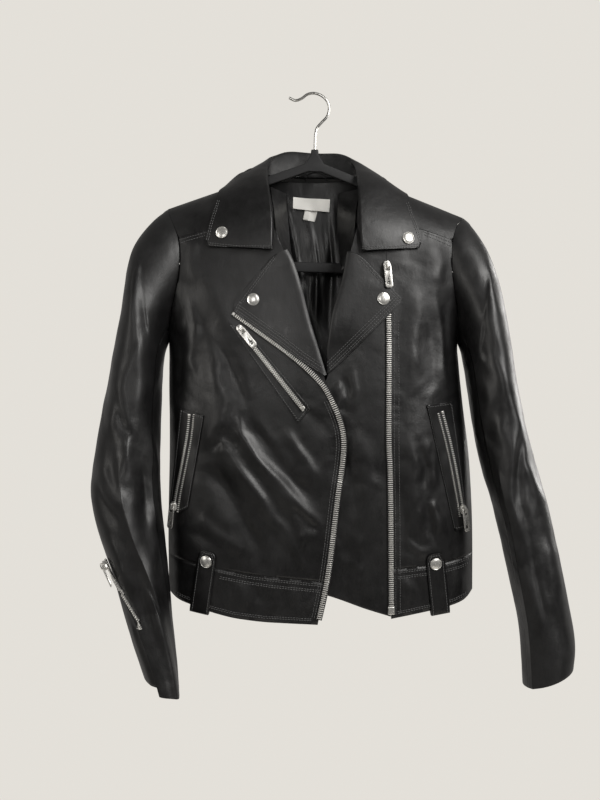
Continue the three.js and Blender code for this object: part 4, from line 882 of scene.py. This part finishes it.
def tooth_form():
    """One metal zip tooth, across X: a clamped foot that narrows to a cupped head."""
    def build():
        bpy.ops.mesh.primitive_cube_add(size=1)
        bpy.context.object.scale = (TOOTH_WIDTH, sewing().pitch * 0.50, TOOTH_HEIGHT)
        bpy.ops.object.transform_apply(scale=True)
        bpy.ops.object.mode_set(mode="EDIT")
        slice_all(((0.0007, 0, 0), (1, 0, 0)))
        bpy.ops.object.mode_set(mode="OBJECT")
        for v in bpy.context.object.data.vertices:
            if v.co.x > 0.001:
                v.co.y *= 0.62
                v.co.z *= 0.85
            elif v.co.x < -0.001:
                v.co.z *= 0.8
        bevel(bpy.context.object, 0.00022, 1)
    return modelled("Tooth", build)


def stop_form():
    """One metal stop of a zip, 1 by 1 by 1, narrower at the top."""
    def build():
        bpy.ops.mesh.primitive_cube_add(size=1)
        bpy.ops.object.mode_set(mode="EDIT")
        slice_all(((0, 0, 0), (1, 0, 0)))
        bpy.ops.mesh.select_all(action="SELECT")
        bpy.ops.mesh.subdivide(number_cuts=1)
        bpy.ops.object.mode_set(mode="OBJECT")
        for v in bpy.context.object.data.vertices:
            if v.co.z > 0.3:
                v.co.x *= 0.8
                v.co.y *= 0.84
        bevel(bpy.context.object, 0.09, 2, 25)
    return modelled("Stop", build)


def snap_form():
    """One snap: a rolled rim and a domed cap."""
    def build():
        r = sewing().snap / 2
        bpy.ops.mesh.primitive_circle_add(vertices=48, radius=r * 0.93, fill_type="NGON")
        bpy.ops.object.mode_set(mode="EDIT")
        bpy.ops.mesh.select_all(action="SELECT")
        bpy.ops.mesh.extrude_region_move(TRANSFORM_OT_translate={"value": (0, 0, 0.0005)})
        bpy.ops.mesh.extrude_region_move(TRANSFORM_OT_translate={"value": (0, 0, 0.0002)})
        bpy.ops.transform.resize(value=(1.07, 1.07, 1), center_override=(0, 0, 0))
        for inset, rise in SNAP_RINGS:
            bpy.ops.mesh.inset(thickness=r * inset, depth=rise)
        bpy.ops.object.mode_set(mode="OBJECT")
    return modelled("Snap", build)


def sew(key, form, ground, lines, double=0.0):
    """Rows of stitches along lines; a double seam gets two rows this many millimetres apart."""
    rows, places = [], []
    for line in lines:
        rows += [beside(line, double / 2), beside(line, -double / 2)] if double else [line]
    for row in rows:
        for (x, z), d in walk(row, sewing().stitch / MM):
            spot = ground.lay(x, z, d)
            if spot:
                point, right, along, up = spot
                places.append((point + up * THREAD_LIFT, right, along, up))
    if not places:
        raise RuntimeError(f"{key}: no stitch of it lands on the leather")
    finish_piece(many(key, *form, places), key, "thread", sharp=80)


# ---- Operators ---------------------------------------------------------------
def dress(node_name, name, levels, shape, key="leather", angle=48):
    """A rounded, shaped and coloured copy of one solid of cloth, which takes that solid's place."""
    piece = copy_of(node_name, name)
    smooth_sheet(piece, levels, angle)
    if shape:
        shape(piece)
    finish_piece(piece, node_name, key)


def round_off(node_name, name, width, angle, key, body="jacket", sharp=35):
    """A copy of one hard solid with rounded edges, which takes that solid's place."""
    piece = copy_of(node_name, name)
    bevel(piece, width, 3, angle)
    apply_modifiers(piece)
    finish_piece(piece, node_name, key, body, sharp)


class JACKET_OT_body(bpy.types.Operator):
    """Shape the fronts, back, yokes and hem bands"""
    bl_idname = "jacket.body"
    bl_label = "Body"

    def execute(self, context):
        n = sewing().detail
        for node_name, title, levels in (
                ("front_left", "Left_front", n), ("front_right", "Right_front", n), ("underflap", "Underlap", n),
                ("hem_left", "Left_hem_band", 2), ("hem_right", "Right_hem_band", 2),
                ("yoke_left", "Left_yoke", n), ("yoke_right", "Right_yoke", n)):
            dress(node_name, title, levels, shape_front)
        dress("back_panel", "Back", n, shape_back)
        dress("hem_back", "Back_hem_band", 2, shape_back)
        return {"FINISHED"}


class JACKET_OT_sleeves(bpy.types.Operator):
    """Shape the sleeves, with the bunched creases of their elbows and wrists"""
    bl_idname = "jacket.sleeves"
    bl_label = "Sleeves"

    def execute(self, context):
        for side in SIDES:
            for part in ("upper", "under"):
                def shape(piece, side=side, part=part):
                    co = coordinates(piece.data) / MM
                    moved = co + sleeve_offset(side, co) * settings().crease
                    if side == "left":
                        lap_cuff(part, co, moved)
                    set_coordinates(piece.data, moved * MM)
                dress(f"sleeve_{side}_{part}", f"Sleeve_{side}_{part}", sewing().detail, shape)
        return {"FINISHED"}


class JACKET_OT_collar(bpy.types.Operator):
    """Shape the collar and both lapels"""
    bl_idname = "jacket.collar"
    bl_label = "Collar and lapels"

    def execute(self, context):
        dress("collar", "Collar", 3, None)
        for side in SIDES:
            dress(f"lapel_{side}", f"Lapel_{side}", 3, None)
        return {"FINISHED"}


class JACKET_OT_inside(bpy.types.Operator):
    """Shape what shows inside the neck: facings, lining, label and hanging loop"""
    bl_idname = "jacket.inside"
    bl_label = "Inside of the neck"

    def execute(self, context):
        for side in SIDES:
            dress(f"facing_{side}", f"Facing_{side}", 2, None)
        dress("lining_back", "Back_lining", 3, shape_lining, "satin")
        dress("label", "Neck_label", 3, None, "label")
        dress("size_tab", "Size_tab", 2, None, "label")
        dress("hanging_loop", "Hanging_loop", 2, None, "strap")
        return {"FINISHED"}


class JACKET_OT_trims(bpy.types.Operator):
    """Shape the pocket welts and the belt loops"""
    bl_idname = "jacket.trims"
    bl_label = "Welts and belt loops"

    def execute(self, context):
        for key in POCKETS:
            dress(f"welt_{key}", f"Welt_{key}", 3, shape_front, "strap")
        for side in SIDES:
            dress(f"belt_loop_{side}", f"Belt_loop_{side}", 2, shape_front, "strap")
        return {"FINISHED"}


def row_of_teeth(places, ground, line, side, lean, shift, long):
    """Adds one row of teeth whose heads point to one side of the line, -1 or 1."""
    for (x, z), d in walk(beside(line, lean), sewing().pitch / MM):
        spot = ground.lay(x + d.x * shift, z + d.y * shift, d)
        if spot:
            point, right, along, up = spot
            places.append((point + up * TOOTH_LIFT, right * side * long, along * side, up))


class JACKET_OT_zips(bpy.types.Operator):
    """Lay the zip tapes, and a metal tooth at every step along them"""
    bl_idname = "jacket.zips"
    bl_label = "Zips"

    def execute(self, context):
        tooth = tooth_form()
        half = sewing().pitch / MM / 2
        for key, raw in ZIP_LINES.items():
            line = rounded_path(raw)
            dress(f"zip_{key}", f"Zip_tape_{key}", 2, shape_front, "tape", angle=40)
            ground = Ground([f"zip_{key}"] + ([f"welt_{key}"] if key.startswith("hand") else []))
            places = []
            for i, (side, lean, long) in enumerate(TOOTH_ROWS[key]):
                row_of_teeth(places, ground, line, side, lean, half * i, long)
            self.finish_teeth(key, tooth, places)
        for side in SIDES:
            self.sleeve(side, tooth, half)
        return {"FINISHED"}

    def finish_teeth(self, key, tooth, places):
        if len(places) < 10:
            raise RuntimeError(f"zip {key}: only {len(places)} teeth land on the tape")
        finish_piece(many(f"Zip_teeth_{key}", *tooth, places), f"teeth_{key}", "teeth", sharp=35)

    def sleeve(self, side, tooth, half):
        """A sleeve's zip runs down its seam: its middle is found from the tape's own long edges."""
        key = f"sleeve_{side}"
        name = f"zip_{key}"
        piece = copy_of(name, f"Zip_tape_{key}")
        raw = coordinates(piece.data) / MM
        set_coordinates(piece.data, (raw + sleeve_offset(side, raw) * settings().crease) * MM)
        finish_piece(piece, name, "tape")
        places = []
        rungs = self.rungs(side, coordinates(piece.data) / MM)
        for (spot_a, right_a, out), (spot_b, right_b, _) in zip(rungs[:-1], rungs[1:]):
            along = (spot_b - spot_a).normalized()
            count = max(1, round((spot_b - spot_a).length / (half * 2)))
            for k in range(count):
                for sign, later in ((1, 0), (-1, 0.5)):
                    t = (k + later) / count
                    right = right_a.lerp(right_b, t)
                    right = (right - along * right.dot(along)).normalized()
                    up = along.cross(right)
                    if up.dot(out) < 0:
                        up, right = -up, -right
                    spot = spot_a.lerp(spot_b, t) + up * SLEEVE_TOOTH_LIFT - right * sign * SLEEVE_TOOTH_LEAN
                    places.append((spot * MM, right * sign, along.copy(), up.copy()))
        self.finish_teeth(key, tooth, places)

    def rungs(self, side, co):
        """Down a sleeve's tape, four corners at a time: middle of its outer face, way across, way out."""
        middle = co.mean(0)
        run = np.linalg.svd(co - middle)[2][0]
        run = run if run[2] < 0 else -run
        order = np.argsort((co - middle) @ run)
        out = []
        for start in range(0, len(order) - 3, 4):
            row = order[start:start + 4]
            cx, cy = sleeve_middle(side, co[row, 2])
            a, b = row[np.argsort(np.hypot(co[row, 0] - cx, co[row, 1] - cy))[-2:]]
            spot = co[[a, b]].mean(0)
            out.append((Vector(spot), Vector(co[a] - co[b]).normalized(),
                        Vector((spot[0] - cx.mean(), spot[1] - cy.mean(), 0))))
        return out


class JACKET_OT_sliders(bpy.types.Operator):
    """Shape the zip sliders, their hinged pull tabs and the zips' metal ends"""
    bl_idname = "jacket.sliders"
    bl_label = "Sliders and pulls"

    def execute(self, context):
        for key in ("main", *POCKETS, "sleeve_left", "sleeve_right"):
            for part, width, body in (("slider", 0.00042, "jacket"), ("pull", 0.00034, f"pull_{key}")):
                round_off(f"{part}_{key}", f"Zip_{part}_{key}", width, 40, "nickel", body, 38)
        self.ends()
        return {"FINISHED"}

    def ends(self):
        """Stops where each row of teeth begins or ends, and the box that takes the pin."""
        places = []
        form = stop_form()
        for key, off, end, size in STOPS:
            ground = Ground([f"zip_{key}", "front_left", "front_right"])
            (x, z), d = walk(beside(ZIP_LINES[key], off), 3)[end]
            inwards = STOP_INSET if end == 0 else -STOP_INSET
            spot = ground.lay(x + d.x * inwards, z + d.y * inwards, d)
            if spot is None:
                raise RuntimeError(f"the stop of zip {key} lands beside its tape")
            point, right, along, up = spot
            width, length, height = (v * MM for v in size)
            places.append((point + up * height * 0.42, right * width, along * length, up * height))
        finish_piece(many("Zip_stops", *form, places), "stops", "nickel", sharp=38)


class JACKET_OT_snaps(bpy.types.Operator):
    """Turn one snap cap and press a copy of it on at each of the six places"""
    bl_idname = "jacket.snaps"
    bl_label = "Snaps"

    def execute(self, context):
        form = snap_form()
        for key in (f"{part}_{side}" for part in ("collar", "lapel", "loop") for side in SIDES):
            name = f"snap_{key}"
            co = coordinates(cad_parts[name].data)
            spread = np.linalg.svd(co - co.mean(0))[2]
            up, right = Vector(spread[2]).normalized(), Vector(spread[0]).normalized()
            up = up if up.y < 0 else -up
            depth = co @ np.array(up)
            foot = Vector(co.mean(0)) + up * float(depth.min() - depth.mean())
            if key.startswith("loop"):
                foot.y -= float(front_height(np.array([foot.x / MM]), np.array([foot.z / MM]))[0]) * MM
            right = (right - up * right.dot(up)).normalized()
            piece = many(f"Snap_{key}", *form, [(foot, right, up.cross(right), up)])
            finish_piece(piece, name, "nickel", sharp=28)
        return {"FINISHED"}


class JACKET_OT_sewing(bpy.types.Operator):
    """Sew the double rows along the front edges, hems, welts, loops, collar and lapels"""
    bl_idname = "jacket.sewing"
    bl_label = "Topstitching"

    def execute(self, context):
        form = stitch_form()
        body = Ground(["front_left", "front_right", "underflap", "hem_left", "hem_right", "yoke_left",
                       "yoke_right"])
        placket = beside(rounded_path(ZIP_LINES["main_left"][4:]), -7.5)
        sew("Stitches_left_front", form, body, [placket], 3.2)
        for key, (lines, double) in BODY_SEAMS.items():
            sew(f"Stitches_{key}", form, body, lines, double)
        for key, corners in WELT_CORNERS.items():
            middle = Vector((sum(c[0] for c in corners) / 4, sum(c[1] for c in corners) / 4))
            inner = [tuple(Vector(c) + (middle - Vector(c)).normalized() * 3.2) for c in corners]
            sew(f"Stitches_welt_{key}", form, Ground([f"welt_{key}"]), [inner + inner[:1]])
        for side, top, bottom in (("left", (-134, -586), (-146, -665)), ("right", (149.7, -589), (158, -666.5))):
            a, b = Vector(top), Vector(bottom)
            d = (b - a).normalized()
            right = Vector((-d.y, d.x))
            lines = [[tuple(a + d * 12 + right * k), tuple(b - d * 1.5 + right * k)] for k in (-9.4, 9.4)]
            lines.append([tuple(a + d * down + right * k) for down, k in ((12, 9.4), (3, 5), (3, -5), (12, -9.4))])
            sew(f"Stitches_loop_{side}", form, Ground([f"belt_loop_{side}"]), lines)
        for side, long_edge, lines in LAPEL_SEAMS:
            ground = Ground([f"lapel_{side}"])
            sew(f"Stitches_lapel_{side}", form, ground, lines, 2.4)
            sew(f"Ladder_lapel_{side}", form, ground, [beside(lines[long_edge], 6.4)], 3.0)
        sew("Stitches_collar", form, Ground(["collar"]), COLLAR_SEAMS, 2.4)
        return {"FINISHED"}


class JACKET_OT_hanger(bpy.types.Operator):
    """Bend the wire hook and round the edges of the hanger's arms and bar"""
    bl_idname = "jacket.hanger"
    bl_label = "Hanger"

    def execute(self, context):
        select_none()
        bpy.ops.curve.primitive_bezier_curve_add(location=(0, 0, 0))
        hook = bpy.context.object
        hook.name = "Wire_hook"
        curve = hook.data
        curve.dimensions, curve.resolution_u, curve.bevel_resolution = "3D", 8, 5
        curve.bevel_depth, curve.use_fill_caps = sewing().wire / 2, True
        points = curve.splines[0].bezier_points
        points.add(len(HOOK_PATH) - 2)
        for i, (p, (x, z)) in enumerate(zip(points, HOOK_PATH)):
            a, b = HOOK_PATH[max(0, i - 1)], HOOK_PATH[min(len(HOOK_PATH) - 1, i + 1)]
            arm = Vector((b[0] - a[0], 0, b[1] - a[1])) * MM / 6
            p.handle_left_type = p.handle_right_type = "FREE"
            p.co = Vector((x, 0, z)) * MM
            p.handle_left, p.handle_right = p.co - arm, p.co + arm
        bpy.ops.object.convert(target="MESH")
        hook = bpy.context.object
        with edited(hook.data) as bm:
            bmesh.ops.remove_doubles(bm, verts=bm.verts, dist=0.01 * MM)
        finish_piece(hook, "hanger_hook", "wire", sharp=50)
        for name, title, width in (("hanger_arms", "Hanger_arms", 0.0013), ("hanger_bar", "Hanger_bar", 0.0015)):
            round_off(name, title, width, 50, "hanger")
        return {"FINISHED"}


class JACKET_OT_cloth(bpy.types.Operator):
    """A step that does nothing: no flat sizes of the pieces are stated"""
    bl_idname = "jacket.cloth"
    bl_label = "Cloth sizes"

    def execute(self, context):
        return {"FINISHED"}


class JACKET_OT_stage(bpy.types.Operator):
    """Set the floor, the pale room light, the lamps and the camera"""
    bl_idname = "jacket.stage"
    bl_label = "Stage"

    def execute(self, context):
        select_none()
        bpy.ops.mesh.primitive_plane_add(size=3.1, location=(0, 0, -1.8))
        floor = bpy.context.object
        floor.name = "Floor"
        floor.data.materials.append(floor_finish())
        self.room(context)
        for name, spot, aim, size, power, colour in LAMPS:
            data = bpy.data.lights.new(name, "AREA")
            data.shape, data.size, data.size_y = "RECTANGLE", *size
            data.energy, data.color = power, colour
            lamp = into_scene(name, data)
            lamp.location = spot
            lamp.rotation_euler = (Vector(aim) - Vector(spot)).to_track_quat("-Z", "Y").to_euler()
        data = bpy.data.cameras.new("Camera")
        data.sensor_width, data.lens = CAMERA_SENSOR, CAMERA_LENS
        data.clip_start, data.clip_end = 0.01, 30
        camera = into_scene("Camera", data)
        camera.location = CAMERA_SPOT
        camera.rotation_euler = (math.pi / 2, 0, 0)
        context.scene.camera = camera
        return {"FINISHED"}

    def room(self, context):
        """A pale room, seen by the camera, that lights dimly and gives metal something to mirror."""
        world = bpy.data.worlds.new("Pale room")
        world.use_nodes = True
        nodes, link = world.node_tree.nodes, world.node_tree.links.new
        pale = nodes["Background"]
        dim, where, split, shade, ray, both = (nodes.new(f"ShaderNode{kind}") for kind in (
            "Background", "TexCoord", "SeparateXYZ", "MapRange", "LightPath", "MixShader"))
        pale.inputs["Color"].default_value = (0.84, 0.81, 0.755, 1)
        pale.inputs["Strength"].default_value = 0.92
        dim.inputs["Color"].default_value = (1, 0.97, 0.93, 1)
        shade.interpolation_type = "SMOOTHSTEP"
        for key, value in (("From Min", -0.55), ("From Max", 0.35), ("To Min", 0.10), ("To Max", 0.34)):
            shade.inputs[key].default_value = value
        link(where.outputs["Generated"], split.inputs["Vector"])
        link(split.outputs["Y"], shade.inputs["Value"])
        link(shade.outputs["Result"], dim.inputs["Strength"])
        link(ray.outputs["Is Camera Ray"], both.inputs["Fac"])
        link(dim.outputs["Background"], both.inputs[1])
        link(pale.outputs["Background"], both.inputs[2])
        link(both.outputs["Shader"], nodes["World Output"].inputs["Surface"])
        context.scene.world = world
        context.scene.view_settings.view_transform = "Standard"


class JACKET_PT_panel(bpy.types.Panel):
    """Steps that build the jacket, in order"""
    bl_idname = "JACKET_PT_panel"
    bl_label = "Leather jacket"
    bl_space_type = "VIEW_3D"
    bl_region_type = "UI"
    bl_category = "Jacket"

    def draw(self, context):
        for group in (settings(), sewing()):
            for name in group.__annotations__:
                self.layout.prop(group, name)
        for step in STEPS:
            self.layout.operator(step.bl_idname)


STEPS = (JACKET_OT_body, JACKET_OT_sleeves, JACKET_OT_collar, JACKET_OT_inside, JACKET_OT_trims,
         JACKET_OT_zips, JACKET_OT_sliders, JACKET_OT_snaps, JACKET_OT_sewing, JACKET_OT_hanger,
         JACKET_OT_cloth, JACKET_OT_stage)
CLASSES = (JacketSettings, SewingSettings, *STEPS, JACKET_PT_panel)


def register():
    for cls in CLASSES:
        bpy.utils.register_class(cls)
    bpy.types.Scene.jacket = PointerProperty(type=JacketSettings)
    bpy.types.Scene.jacket_sewing = PointerProperty(type=SewingSettings)


def unregister():
    del bpy.types.Scene.jacket_sewing
    del bpy.types.Scene.jacket
    for cls in reversed(CLASSES):
        bpy.utils.unregister_class(cls)


def main():
    register()
    for step in STEPS:
        group, name = step.bl_idname.split(".")
        getattr(getattr(bpy.ops, group), name)()


if __name__ == "__main__":
    main()
